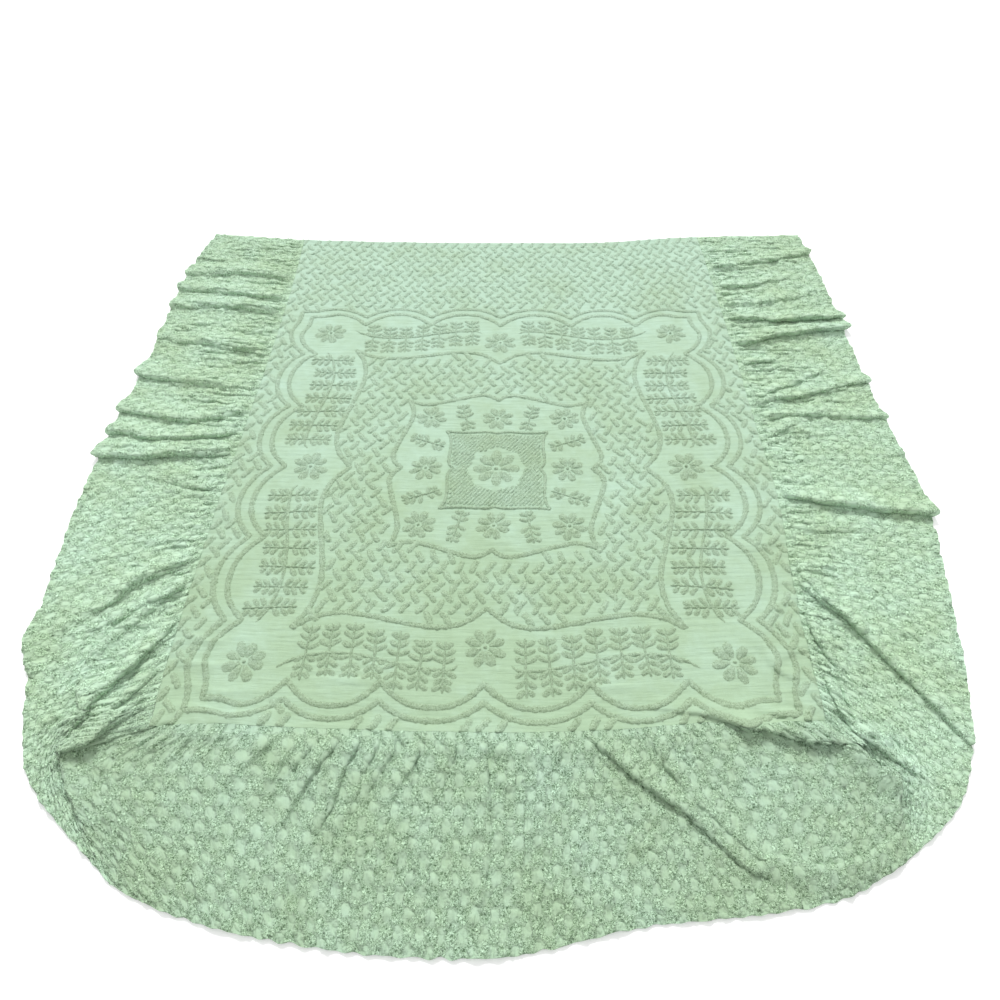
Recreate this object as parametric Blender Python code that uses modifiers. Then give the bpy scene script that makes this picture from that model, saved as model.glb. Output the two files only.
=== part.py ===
"""Chenille bedspread for a king-size bed, laid out flat with its skirt spread around it.

Four cut pieces: a flat centre panel, and a left, a foot and a right skirt gathered onto three of
its edges. Units are metres. X runs across the bedspread and Y along it, with the head end at +Y.
The underside rests on Z = 0, and the origin is under the middle of the bounding box.

Each skirt is a loft between ribs, which run from the seam on the panel's edge out to the hem. The
folds are soft ridges laid over that loft, each along its own curved crest line.
"""
import math
from collections import namedtuple

import bpy
from mathutils import Vector

# Driving sizes
THICKNESS = 0.003        # tufted cotton cloth with its pile
SEAM_GAP = 0.0003        # clearance between two pieces that are sewn together
CORNER_GAP = 0.001       # the same clearance at a skirt's end, measured midway to the hem
SEAM_ALLOWANCE = 0.008   # flat strip along every seam
RISE_LENGTH = 0.060      # length over which folds rise from a skirt's end
COLUMN_PITCH = 0.038     # spacing of the sections across a skirt
HEAD_EDGE_PITCH = 0.080  # spacing of the outline's points along the head edge
KNEE = 0.25              # a rib's knee lies a quarter of the way from seam to hem
HEM_FLARE = 0.7          # a fold pushes the hem outward by this share of its height
FOLD_SHEAR = 0.35        # a fold's crest leans to its steep side by this share of its height
CREST_SAMPLES = 10       # straight steps along a fold's crest line

# Rows of a skirt's mesh, as shares of the way from seam to hem
SKIRT_ROWS = (0.0, 0.02, 0.12, 0.24, 0.37, 0.50, 0.63, 0.76, 0.88, 1.0)

# A rib has its seam point and hem point, and a knee where the cloth doesn't run straight out
Rib = namedtuple("Rib", "seam hem knee", defaults=(None,))

# Down the left side, from the head end to the foot corner
LEFT_RIBS = (
    Rib((-0.985, 1.460), (-1.425, 1.505)),
    Rib((-0.976, 1.250), (-1.462, 1.300)),
    Rib((-0.973, 0.900), (-1.480, 0.950)),
    Rib((-0.978, 0.500), (-1.475, 0.550)),
    Rib((-0.988, 0.150), (-1.490, 0.160)),
    Rib((-0.996, -0.150), (-1.490, -0.200)),
    Rib((-0.999, -0.450), (-1.455, -0.580)),
    Rib((-0.999, -0.680), (-1.405, -0.820), (-1.110, -0.720)),
    Rib((-0.997, -0.820), (-1.350, -0.990), (-1.155, -0.890)),
    Rib((-0.994, -0.920), (-1.260, -1.160), (-1.205, -1.000)),
    Rib((-0.990, -0.985), (-0.965, -1.398), (-1.190, -1.060)),
)

# Along the foot, from the left corner to the right corner
FOOT_RIBS = (
    LEFT_RIBS[-1],
    Rib((-0.930, -0.982), (-0.850, -1.445), (-1.050, -1.110)),
    Rib((-0.800, -0.980), (-0.680, -1.490), (-0.840, -1.110)),
    Rib((-0.550, -0.985), (-0.480, -1.522)),
    Rib((-0.250, -0.990), (-0.230, -1.543)),
    Rib((0.050, -0.989), (0.040, -1.538)),
    Rib((0.350, -0.974), (0.370, -1.470)),
    Rib((0.600, -0.950), (0.680, -1.436)),
    Rib((0.800, -0.941), (0.890, -1.393), (0.900, -1.050)),
    Rib((0.940, -0.937), (1.075, -1.300), (1.085, -1.095)),
)

# Up the right side, from the foot corner to the head end
RIGHT_RIBS = (
    FOOT_RIBS[-1],
    Rib((0.942, -0.890), (1.235, -1.170), (1.085, -1.010)),
    Rib((0.943, -0.760), (1.335, -1.000)),
    Rib((0.945, -0.600), (1.400, -0.770)),
    Rib((0.953, -0.440), (1.440, -0.540)),
    Rib((0.972, -0.220), (1.485, -0.250)),
    Rib((0.977, -0.050), (1.498, -0.050)),
    Rib((0.966, 0.300), (1.468, 0.340)),
    Rib((0.957, 0.720), (1.455, 0.770)),
    Rib((0.944, 1.100), (1.452, 1.150)),
    Rib((0.926, 1.520), (1.425, 1.545)),
)

# The head edge between the last right seam point and the first left one
HEAD_EDGE = (
    RIGHT_RIBS[-1].seam,
    (0.820, 1.508),
    (0.460, 1.463),
    (-0.040, 1.450),
    (-0.540, 1.447),
    LEFT_RIBS[0].seam,
)

# A fold's crest runs from start through middle to end, with its height at each of the three.
# half_width is from the crest to the fold's foot. steep skews it: above 0 the left side of the
# crest line is the steep one, below 0 the right side.
Fold = namedtuple("Fold", "start middle end heights half_width steep")

LEFT_FOLDS = (
    Fold((-1.00, 1.15), (-1.23, 1.20), (-1.49, 1.18), (0.012, 0.018, 0.016), 0.050, 0.4),
    Fold((-0.98, 1.01), (-1.18, 1.04), (-1.49, 1.07), (0.014, 0.018, 0.014), 0.046, 0.4),
    Fold((-0.97, 0.90), (-1.25, 0.95), (-1.47, 0.95), (0.016, 0.018, 0.010), 0.048, 0.4),
    Fold((-0.97, 0.62), (-1.22, 0.69), (-1.46, 0.73), (0.018, 0.016, 0.008), 0.055, 0.5),
    Fold((-1.05, 0.41), (-1.28, 0.46), (-1.50, 0.51), (0.006, 0.018, 0.022), 0.055, 0.5),
    Fold((-0.99, 0.28), (-1.20, 0.24), (-1.50, 0.30), (0.012, 0.018, 0.022), 0.046, 0.5),
    Fold((-1.00, 0.18), (-1.20, 0.15), (-1.52, 0.17), (0.016, 0.020, 0.022), 0.044, 0.4),
    Fold((-1.00, 0.08), (-1.19, 0.06), (-1.53, 0.06), (0.016, 0.026, 0.026), 0.050, 0.5),
    Fold((-0.99, -0.08), (-1.14, -0.07), (-1.30, -0.03), (0.012, 0.012, 0.000), 0.048, 0.3),
    Fold((-0.99, -0.38), (-1.18, -0.50), (-1.36, -0.68), (0.014, 0.024, 0.010), 0.055, 0.4),
    Fold((-1.00, -0.48), (-1.13, -0.57), (-1.25, -0.67), (0.012, 0.016, 0.006), 0.046, 0.3),
    Fold((-1.13, -0.64), (-1.22, -0.78), (-1.22, -0.97), (0.008, 0.020, 0.022), 0.048, -0.3),
    Fold((-1.00, -0.60), (-1.09, -0.73), (-1.18, -0.93), (0.014, 0.024, 0.020), 0.046, 0.4),
    Fold((-0.99, -0.74), (-1.08, -0.87), (-1.18, -1.00), (0.014, 0.024, 0.022), 0.046, 0.4),
    Fold((-0.99, -0.89), (-1.08, -0.96), (-1.19, -1.02), (0.010, 0.016, 0.026), 0.044, 0.2),
)

FOOT_FOLDS = (
    Fold((-0.97, -1.01), (-1.08, -1.05), (-1.17, -1.08), (0.008, 0.020, 0.028), 0.050, 0.0),
    Fold((-1.17, -1.09), (-1.10, -1.22), (-0.98, -1.37), (0.026, 0.018, 0.006), 0.050, 0.0),
    Fold((-0.57, -1.00), (-0.72, -1.03), (-0.87, -1.07), (0.014, 0.012, 0.004), 0.046, 0.3),
    Fold((-0.43, -1.00), (-0.49, -1.09), (-0.56, -1.18), (0.018, 0.014, 0.004), 0.046, 0.4),
    Fold((-0.36, -1.01), (-0.42, -1.13), (-0.49, -1.29), (0.018, 0.018, 0.004), 0.048, 0.4),
    Fold((-0.22, -1.01), (-0.25, -1.09), (-0.31, -1.19), (0.020, 0.016, 0.004), 0.046, 0.4),
    Fold((-0.13, -1.01), (-0.14, -1.08), (-0.17, -1.17), (0.018, 0.012, 0.002), 0.044, 0.3),
    Fold((-0.04, -1.02), (-0.02, -1.15), (-0.02, -1.29), (0.012, 0.016, 0.004), 0.048, 0.3),
    Fold((0.08, -1.01), (0.11, -1.12), (0.10, -1.25), (0.016, 0.018, 0.004), 0.048, 0.3),
    Fold((0.20, -1.00), (0.45, -1.19), (0.76, -1.40), (0.014, 0.030, 0.016), 0.060, -0.3),
    Fold((0.40, -0.99), (0.58, -1.18), (0.80, -1.33), (0.014, 0.026, 0.018), 0.055, 0.3),
    Fold((0.84, -1.33), (1.04, -1.28), (1.27, -1.12), (0.016, 0.018, 0.008), 0.055, 0.2),
    Fold((0.58, -0.98), (0.80, -1.00), (1.02, -1.03), (0.010, 0.032, 0.030), 0.060, -0.4),
    Fold((1.04, -1.07), (1.06, -1.13), (1.04, -1.22), (0.028, 0.026, 0.008), 0.048, 0.0),
)

RIGHT_FOLDS = (
    Fold((1.12, -1.10), (1.16, -1.12), (1.22, -1.12), (0.026, 0.018, 0.004), 0.046, 0.0),
    Fold((0.96, -0.79), (1.00, -0.89), (1.06, -1.00), (0.010, 0.020, 0.028), 0.046, -0.3),
    Fold((0.95, -0.62), (0.98, -0.72), (1.03, -0.82), (0.014, 0.018, 0.006), 0.046, -0.3),
    Fold((0.96, -0.42), (1.13, -0.70), (1.31, -1.04), (0.014, 0.030, 0.020), 0.058, -0.4),
    Fold((0.98, -0.33), (1.11, -0.50), (1.25, -0.72), (0.012, 0.020, 0.006), 0.050, -0.3),
    Fold((0.98, -0.25), (1.16, -0.24), (1.35, -0.25), (0.008, 0.010, 0.004), 0.048, -0.3),
    Fold((0.98, -0.08), (1.22, -0.14), (1.52, -0.17), (0.016, 0.026, 0.028), 0.055, -0.5),
    Fold((0.96, 0.25), (1.18, 0.30), (1.49, 0.28), (0.012, 0.012, 0.018), 0.050, -0.4),
    Fold((0.97, 0.37), (1.22, 0.46), (1.47, 0.51), (0.014, 0.018, 0.016), 0.052, -0.4),
    Fold((0.97, 0.70), (1.20, 0.77), (1.47, 0.82), (0.020, 0.026, 0.024), 0.048, -0.5),
    Fold((1.00, 0.87), (1.25, 0.89), (1.47, 0.90), (0.014, 0.026, 0.026), 0.046, -0.5),
    Fold((0.95, 0.99), (1.18, 1.02), (1.38, 1.09), (0.012, 0.012, 0.006), 0.048, -0.3),
    Fold((0.94, 1.24), (1.18, 1.31), (1.43, 1.39), (0.016, 0.012, 0.014), 0.050, -0.4),
)

# Base colours in linear light: a pale mint green, a little deeper on the densely tufted skirt
PANEL_COLOUR = (0.50, 0.68, 0.50)
SKIRT_COLOUR = (0.41, 0.58, 0.40)
CLOTH_ROUGHNESS = 0.95


def smoothstep(low, high, value):
    share = min(max((value - low) / (high - low), 0.0), 1.0)
    return share * share * (3.0 - 2.0 * share)


def curve_through(knots, points, place):
    """Point at place on the smooth curve that passes through points at knots."""
    last = len(knots) - 1
    index = 0
    while index < last - 1 and place > knots[index + 1]:
        index += 1

    def slope(at):
        before = max(at - 1, 0)
        after = min(at + 1, last)
        return (points[after] - points[before]) / (knots[after] - knots[before])

    span = knots[index + 1] - knots[index]
    share = (place - knots[index]) / span
    square = share * share
    cube = square * share
    return (
        (2.0 * cube - 3.0 * square + 1.0) * points[index]
        + (cube - 2.0 * square + share) * span * slope(index)
        + (3.0 * square - 2.0 * cube) * points[index + 1]
        + (cube - square) * span * slope(index + 1)
    )


def spaced(length, pitch, margin):
    """Places from 0 to length about pitch apart, with a narrow strip of margin at each end."""
    steps = max(round((length - 2.0 * margin) / pitch), 1)
    inner = [margin + (length - 2.0 * margin) * step / steps for step in range(steps + 1)]
    return [0.0] + inner + [length]


class Crest:
    """A fold's crest line, broken into short straight steps."""

    def __init__(self, fold):
        self.fold = fold
        points = [Vector(point) for point in (fold.start, fold.middle, fold.end)]
        knots = [0.0, 0.5, 1.0]
        shares = [step / CREST_SAMPLES for step in range(CREST_SAMPLES + 1)]
        self.points = [curve_through(knots, points, share) for share in shares]
        self.heights = [curve_through(knots, fold.heights, share) for share in shares]

    def lift(self, place):
        """Height of the fold over place, and its push towards the steep side."""
        nearest = math.inf
        for index in range(CREST_SAMPLES):
            start = self.points[index]
            step = self.points[index + 1] - start
            share = min(max((place - start).dot(step) / step.length_squared, 0.0), 1.0)
            offset = place - (start + share * step)
            if offset.length < nearest:
                nearest = offset.length
                left = Vector((-step.y, step.x)).normalized()
                side = offset.dot(left)
                height = self.heights[index] * (1.0 - share) + self.heights[index + 1] * share
        skew = -self.fold.steep if side > 0.0 else self.fold.steep
        reach = self.fold.half_width * (1.0 + skew)
        if nearest >= reach:
            return 0.0, Vector((0.0, 0.0))
        lift = height * 0.5 * (1.0 + math.cos(math.pi * nearest / reach))
        lean = math.copysign(FOLD_SHEAR, self.fold.steep) if self.fold.steep else 0.0
        return lift, left * (lean * lift)


class Skirt:
    """One gathered skirt: a loft of ribs, with folds laid over it."""

    def __init__(self, ribs, folds):
        self.seam = [Vector(rib.seam) for rib in ribs]
        self.hem = [Vector(rib.hem) for rib in ribs]
        self.knee = [
            Vector(rib.knee) if rib.knee else Vector(rib.seam).lerp(Vector(rib.hem), KNEE)
            for rib in ribs
        ]
        self.crests = [Crest(fold) for fold in folds]
        self.knots = [0.0]
        for index in range(1, len(ribs)):
            seam_step = (self.seam[index] - self.seam[index - 1]).length
            hem_step = (self.hem[index] - self.hem[index - 1]).length
            self.knots.append(self.knots[-1] + (seam_step + hem_step) / 2.0)
        self.length = self.knots[-1]
        usable = self.length - 2.0 * CORNER_GAP
        self.columns = [
            CORNER_GAP + place for place in spaced(usable, COLUMN_PITCH, SEAM_ALLOWANCE)
        ]

    def plan(self, along, out):
        """Place in plan of the cloth at along the skirt and out from seam (0) to hem (1)."""
        seam = curve_through(self.knots, self.seam, along)
        knee = curve_through(self.knots, self.knee, along)
        hem = curve_through(self.knots, self.hem, along)
        return curve_through([0.0, KNEE, 1.0], [seam, knee, hem], out)

    def point(self, along, out):
        """Place of the cloth's underside, with its folds."""
        place = self.plan(along, out)
        lift = 0.0
        push = Vector((0.0, 0.0))
        for crest in self.crests:
            crest_lift, crest_push = crest.lift(place)
            lift += crest_lift
            push += crest_push
        margin = CORNER_GAP + SEAM_ALLOWANCE
        rise = smoothstep(SKIRT_ROWS[1], SKIRT_ROWS[2], out)
        rise *= smoothstep(margin, margin + RISE_LENGTH, along)
        rise *= smoothstep(margin, margin + RISE_LENGTH, self.length - along)
        outward = (place - self.plan(along, out * KNEE)).normalized() if out > 0.0 else push
        place = place + rise * (push + outward * (HEM_FLARE * lift * out * out))
        return Vector((place.x, place.y, lift * rise))

    def seam_line(self):
        return [self.plan(along, 0.0) for along in self.columns]


def make_material(name, colour):
    material = bpy.data.materials.new(name)
    material.use_nodes = True
    shader = material.node_tree.nodes["Principled BSDF"]
    shader.inputs["Base Color"].default_value = (*colour, 1.0)
    shader.inputs["Roughness"].default_value = CLOTH_ROUGHNESS
    shader.inputs["Metallic"].default_value = 0.0
    return material


def add_part(name, data, colour, collection):
    part = bpy.data.objects.new(name, data)
    data.materials.append(make_material(name, colour))
    collection.objects.link(part)
    return part


def make_skirt(name, skirt, collection):
    rows = len(SKIRT_ROWS)
    points = [skirt.point(along, out) for along in skirt.columns for out in SKIRT_ROWS]
    faces = []
    for column in range(len(skirt.columns) - 1):
        for row in range(rows - 1):
            corner = column * rows + row
            faces.append((corner, corner + 1, corner + rows + 1, corner + rows))
    mesh = bpy.data.meshes.new(name)
    mesh.from_pydata(points, [], faces)
    mesh.shade_smooth()
    part = add_part(name, mesh, SKIRT_COLOUR, collection)
    shell = part.modifiers.new("Cloth thickness", "SOLIDIFY")
    shell.thickness = THICKNESS
    shell.offset = 1.0
    return part


def inset(outline, distance):
    """The closed outline, which runs anticlockwise, moved inward by distance."""
    moved = []
    for index, point in enumerate(outline):
        before = (point - outline[index - 1]).normalized()
        after = (outline[(index + 1) % len(outline)] - point).normalized()
        inward = Vector((-before.y - after.y, before.x + after.x)).normalized()
        spread = inward.dot(Vector((-before.y, before.x)))
        moved.append(point + inward * (distance / spread))
    return moved


def make_panel(name, skirts, collection):
    outline = []
    for skirt in skirts:
        outline += skirt.seam_line()
    points = [Vector(point) for point in HEAD_EDGE]
    knots = [0.0]
    for index in range(1, len(points)):
        knots.append(knots[-1] + (points[index] - points[index - 1]).length)
    steps = round(knots[-1] / HEAD_EDGE_PITCH)
    outline += [curve_through(knots, points, knots[-1] * step / steps) for step in range(1, steps)]
    edge = inset(outline, SEAM_GAP)
    curve = bpy.data.curves.new(name, "CURVE")
    curve.dimensions = "2D"
    curve.fill_mode = "BOTH"
    curve.extrude = THICKNESS / 2.0
    spline = curve.splines.new("POLY")
    spline.points.add(len(edge) - 1)
    for spline_point, point in zip(spline.points, edge):
        spline_point.co = (point.x, point.y, 0.0, 1.0)
    spline.use_cyclic_u = True
    part = add_part(name, curve, PANEL_COLOUR, collection)
    part.location.z = THICKNESS / 2.0
    return part


def centre_on_origin(parts):
    """Move the parts so that the middle of their bounding box is over the origin."""
    bpy.context.view_layer.update()
    graph = bpy.context.evaluated_depsgraph_get()
    corners = []
    for part in parts:
        evaluated = part.evaluated_get(graph)
        mesh = evaluated.to_mesh()
        corners += [part.matrix_world @ vertex.co for vertex in mesh.vertices]
        evaluated.to_mesh_clear()
    for axis in (0, 1):
        values = [corner[axis] for corner in corners]
        middle = (min(values) + max(values)) / 2.0
        for part in parts:
            part.location[axis] -= middle


def main():
    for old in list(bpy.data.objects):
        bpy.data.objects.remove(old)
    collection = bpy.data.collections.new("Chenille bedspread")
    bpy.context.scene.collection.children.link(collection)

    left = Skirt(LEFT_RIBS, LEFT_FOLDS)
    foot = Skirt(FOOT_RIBS, FOOT_FOLDS)
    right = Skirt(RIGHT_RIBS, RIGHT_FOLDS)
    parts = [
        make_panel("panel", (left, foot, right), collection),
        make_skirt("skirt_left", left, collection),
        make_skirt("skirt_foot", foot, collection),
        make_skirt("skirt_right", right, collection),
    ]
    centre_on_origin(parts)


main()
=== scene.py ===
"""Looks for the chenille bedspread: cloth sheets with their folds and gathers, and chenille pile.

Everything is in metres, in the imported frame: X across, Y towards the head end, Z up. Each sheet
is a Cloth, a fine grid of places on its underside that is read by two shares, u and v. The pile is
real geometry: strips of lumpy tufting that follow the cloth.
"""
import math
from collections import namedtuple

import bpy
import numpy as np
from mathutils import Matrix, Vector


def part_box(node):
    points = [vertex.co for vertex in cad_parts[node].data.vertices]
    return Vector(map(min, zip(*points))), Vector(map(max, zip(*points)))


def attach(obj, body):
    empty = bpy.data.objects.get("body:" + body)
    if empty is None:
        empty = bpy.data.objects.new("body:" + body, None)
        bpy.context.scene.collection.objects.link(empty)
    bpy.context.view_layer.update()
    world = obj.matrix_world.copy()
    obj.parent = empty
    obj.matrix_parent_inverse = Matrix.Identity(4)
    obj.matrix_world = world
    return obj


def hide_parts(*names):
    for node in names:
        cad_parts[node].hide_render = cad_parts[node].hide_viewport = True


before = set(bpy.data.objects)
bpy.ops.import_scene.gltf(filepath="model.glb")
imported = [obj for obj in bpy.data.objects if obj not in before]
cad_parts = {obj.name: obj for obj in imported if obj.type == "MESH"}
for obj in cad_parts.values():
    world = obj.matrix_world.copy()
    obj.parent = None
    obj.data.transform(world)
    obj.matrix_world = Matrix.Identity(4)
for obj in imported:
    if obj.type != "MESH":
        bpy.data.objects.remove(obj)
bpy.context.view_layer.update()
rng = np.random.default_rng(7)

# ---------------------------------------------------------------- sizes

CLOTH_THICKNESS = 0.0016
HEM_EXTRA = 0.0014           # the turned hem is this much thicker
HEM_WIDTH = 0.012
SEAM_GAP = 0.0003

KNEE = 0.25                  # a rib's knee lies a quarter of the way from seam to hem
HEM_FLARE = 0.7              # a fold pushes the hem outward by this share of its height
FOLD_SHEAR = 0.95            # a fold's crest leans to its steep side by this share of its height
WRINKLE_LEAN = 0.9           # and a wrinkle's, towards the foot
SOFT_LIMIT = 0.031           # folds flatten softly above this height
SOFT_RANGE = 0.010           # and rise no more than this above it
CREST_SAMPLES = 16
RIPPLE_WAVES = 7
PULL_PITCH = 0.021           # between the faint pulls across flat cloth
PULL_HEIGHT = 0.0005
PUFF_HEIGHT = 0.0040         # of the swelling between a skirt's tufted bars
PILE_SINK = 0.0005           # how far the pile's edges sink into the cloth
ENDS_FADE = (0.006, 0.050)   # a skirt's folds fade in over this distance from each end
SURFACE_STEP = 0.004         # spacing of the grid that a Cloth is read from
SKIRT_STEP = 0.0048          # spacing of a skirt's mesh along it, the way it is gathered
DROP_STEP = 0.008            # and from seam to hem
PANEL_STEP = (0.0130, 0.0074)

PANEL_WIDTH = 1.93
PANEL_LENGTH = 2.44
DROP = 0.52                  # the skirt's depth from seam to hem

# ranges of the gathers that start at a seam, and of the wrinkles that start beyond it
GATHER_HEIGHTS = (0.0045, 0.0110)
GATHER_INWARD = (0.015, 0.070)
WRINKLE_PITCH = (0.013, 0.036)
WRINKLE_HEIGHTS = (0.0040, 0.0105)
WRINKLE_HALF_WIDTHS = (0.007, 0.016)
WAVER = 0.0045               # how far a wrinkle wavers to each side
WAVER_LENGTH = 0.17
SEAM_PUCKER = 0.55           # the panel's puckers rise by this share of the gathers

BAR_PITCH = 0.052            # along a row of tufted bars
ROW_PITCH = 0.039            # between rows, which slant left and right by turns
BAR_SLANT = math.radians(57)

# ---------------------------------------------------------------- the laid shape

Rib = namedtuple("Rib", "seam hem knee", defaults=(None,))

LEFT_RIBS = (
    Rib((-0.985, 1.460), (-1.425, 1.505)),
    Rib((-0.976, 1.250), (-1.462, 1.300)),
    Rib((-0.973, 0.900), (-1.480, 0.950)),
    Rib((-0.978, 0.500), (-1.475, 0.550)),
    Rib((-0.988, 0.150), (-1.490, 0.160)),
    Rib((-0.996, -0.150), (-1.490, -0.200)),
    Rib((-0.999, -0.450), (-1.455, -0.580)),
    Rib((-0.999, -0.680), (-1.405, -0.820), (-1.110, -0.720)),
    Rib((-0.997, -0.820), (-1.350, -0.990), (-1.155, -0.890)),
    Rib((-0.994, -0.920), (-1.260, -1.160), (-1.205, -1.000)),
    Rib((-0.990, -0.985), (-0.965, -1.398), (-1.190, -1.060)),
)

FOOT_RIBS = (
    LEFT_RIBS[-1],
    Rib((-0.930, -0.982), (-0.850, -1.445), (-1.050, -1.110)),
    Rib((-0.800, -0.980), (-0.680, -1.490), (-0.840, -1.110)),
    Rib((-0.550, -0.985), (-0.480, -1.522)),
    Rib((-0.250, -0.990), (-0.230, -1.543)),
    Rib((0.050, -0.989), (0.040, -1.538)),
    Rib((0.350, -0.974), (0.370, -1.470)),
    Rib((0.600, -0.950), (0.680, -1.436)),
    Rib((0.800, -0.941), (0.890, -1.393), (0.900, -1.050)),
    Rib((0.940, -0.937), (1.075, -1.300), (1.085, -1.095)),
)

RIGHT_RIBS = (
    FOOT_RIBS[-1],
    Rib((0.942, -0.890), (1.235, -1.170), (1.085, -1.010)),
    Rib((0.943, -0.760), (1.335, -1.000)),
    Rib((0.945, -0.600), (1.400, -0.770)),
    Rib((0.953, -0.440), (1.440, -0.540)),
    Rib((0.972, -0.220), (1.485, -0.250)),
    Rib((0.977, -0.050), (1.498, -0.050)),
    Rib((0.966, 0.300), (1.468, 0.340)),
    Rib((0.957, 0.720), (1.455, 0.770)),
    Rib((0.944, 1.100), (1.452, 1.150)),
    Rib((0.926, 1.520), (1.425, 1.545)),
)

HEAD_EDGE = (
    LEFT_RIBS[0].seam,
    (-0.540, 1.447),
    (-0.040, 1.450),
    (0.460, 1.463),
    (0.820, 1.508),
    RIGHT_RIBS[-1].seam,
)

Fold = namedtuple("Fold", "start middle end heights half_width steep")


def folds(*rows):
    """Folds from rows of start, middle and end of the crest, its height at each and half its width
    in millimetres, and how steep it is towards its left, or its right below 0."""
    return [
        Fold(start, middle, end, [height / 1000.0 for height in heights], half / 1000.0, steep)
        for start, middle, end, heights, half, steep in rows
    ]


LEFT_FOLDS = folds(
    ((-1.00, 1.15), (-1.23, 1.20), (-1.49, 1.18), (12, 18, 16), 50, 0.4),
    ((-0.98, 1.01), (-1.18, 1.04), (-1.49, 1.07), (14, 18, 14), 46, 0.4),
    ((-0.97, 0.90), (-1.25, 0.95), (-1.47, 0.95), (16, 18, 10), 48, 0.4),
    ((-0.97, 0.62), (-1.22, 0.69), (-1.46, 0.73), (18, 16, 8), 55, 0.5),
    ((-1.05, 0.41), (-1.28, 0.46), (-1.50, 0.51), (6, 18, 22), 55, 0.5),
    ((-0.99, 0.28), (-1.20, 0.24), (-1.50, 0.30), (12, 18, 22), 46, 0.5),
    ((-1.00, 0.18), (-1.20, 0.15), (-1.52, 0.17), (16, 20, 22), 44, 0.4),
    ((-1.00, 0.08), (-1.19, 0.06), (-1.53, 0.06), (16, 26, 26), 50, 0.5),
    ((-0.99, -0.08), (-1.14, -0.07), (-1.30, -0.03), (12, 12, 0), 48, 0.3),
    ((-0.99, -0.38), (-1.18, -0.50), (-1.36, -0.68), (10, 16, 7), 46, 0.3),
    ((-1.00, -0.48), (-1.13, -0.57), (-1.25, -0.67), (9, 11, 4), 34, 0.3),
    ((-1.05, -0.41), (-1.18, -0.49), (-1.25, -0.60), (6, 10, 4), 26, 0.4),
    ((-0.97, -0.45), (-1.11, -0.60), (-1.20, -0.76), (6, 10, 6), 24, 0.3),
    ((-0.96, -0.66), (-1.07, -0.76), (-1.18, -0.90), (7, 11, 8), 20, 0.4),
    ((-1.14, -0.63), (-1.21, -0.78), (-1.18, -0.93), (8, 20, 22), 34, -0.5),
    ((-0.99, -0.60), (-1.05, -0.71), (-1.11, -0.80), (10, 17, 10), 28, 0.5),
    ((-1.11, -0.80), (-1.15, -0.88), (-1.19, -0.97), (14, 18, 20), 26, 0.3),
    ((-0.98, -0.76), (-1.06, -0.86), (-1.16, -1.01), (10, 17, 17), 26, 0.5),
    ((-0.99, -0.82), (-1.05, -0.90), (-1.14, -1.00), (8, 12, 12), 16, 0.4),
    ((-0.99, -0.89), (-1.07, -0.95), (-1.18, -1.03), (10, 16, 24), 28, 0.4),
    ((-1.16, -0.93), (-1.21, -0.96), (-1.22, -1.00), (12, 18, 16), 22, 0.2),
    ((-1.44, -0.62), (-1.43, -0.72), (-1.39, -0.82), (6, 16, 8), 26, -0.4),
)

FOOT_FOLDS = folds(
    ((-0.62, -0.975), (-0.78, -0.995), (-0.93, -1.03), (10, 11, 3), 28, 0.2),
    ((-0.61, -0.985), (-0.69, -1.065), (-0.80, -1.19), (10, 9, 1), 26, 0.2),
    ((-0.56, -1.00), (-0.61, -1.11), (-0.67, -1.25), (10, 9, 1), 24, 0.2),
    ((-0.50, -1.00), (-0.55, -1.07), (-0.62, -1.19), (9, 8, 1), 20, 0.2),
    ((-0.45, -1.01), (-0.52, -1.12), (-0.59, -1.29), (13, 11, 2), 27, 0.3),
    ((-0.39, -1.00), (-0.44, -1.12), (-0.50, -1.33), (13, 12, 2), 27, 0.3),
    ((-0.34, -1.01), (-0.38, -1.11), (-0.43, -1.28), (10, 9, 1), 22, 0.2),
    ((-0.29, -1.00), (-0.32, -1.08), (-0.37, -1.19), (9, 8, 1), 20, 0.2),
    ((-0.22, -1.00), (-0.25, -1.08), (-0.31, -1.22), (13, 10, 1), 26, 0.3),
    ((-0.13, -1.01), (-0.15, -1.09), (-0.19, -1.24), (11, 9, 1), 25, 0.2),
    ((-0.05, -1.01), (-0.04, -1.15), (-0.04, -1.34), (10, 12, 2), 29, 0.2),
    ((0.02, -1.01), (0.03, -1.08), (0.03, -1.20), (9, 8, 1), 22, 0.2),
    ((0.08, -1.01), (0.11, -1.13), (0.13, -1.31), (11, 12, 2), 29, 0.2),
    ((0.15, -1.00), (0.20, -1.08), (0.25, -1.20), (8, 8, 1), 22, 0.2),
    ((0.24, -0.965), (0.42, -1.115), (0.67, -1.330), (9, 18, 12), 34, -0.50),
    ((0.42, -0.98), (0.55, -1.16), (0.70, -1.300), (7, 13, 9), 24, -0.4),
    ((0.70, -1.315), (0.88, -1.345), (1.12, -1.240), (10, 15, 7), 36, 0.4),
    ((0.70, -0.950), (0.84, -0.965), (0.98, -0.985), (2, 6, 4), 14, 0.2),
)

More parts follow.
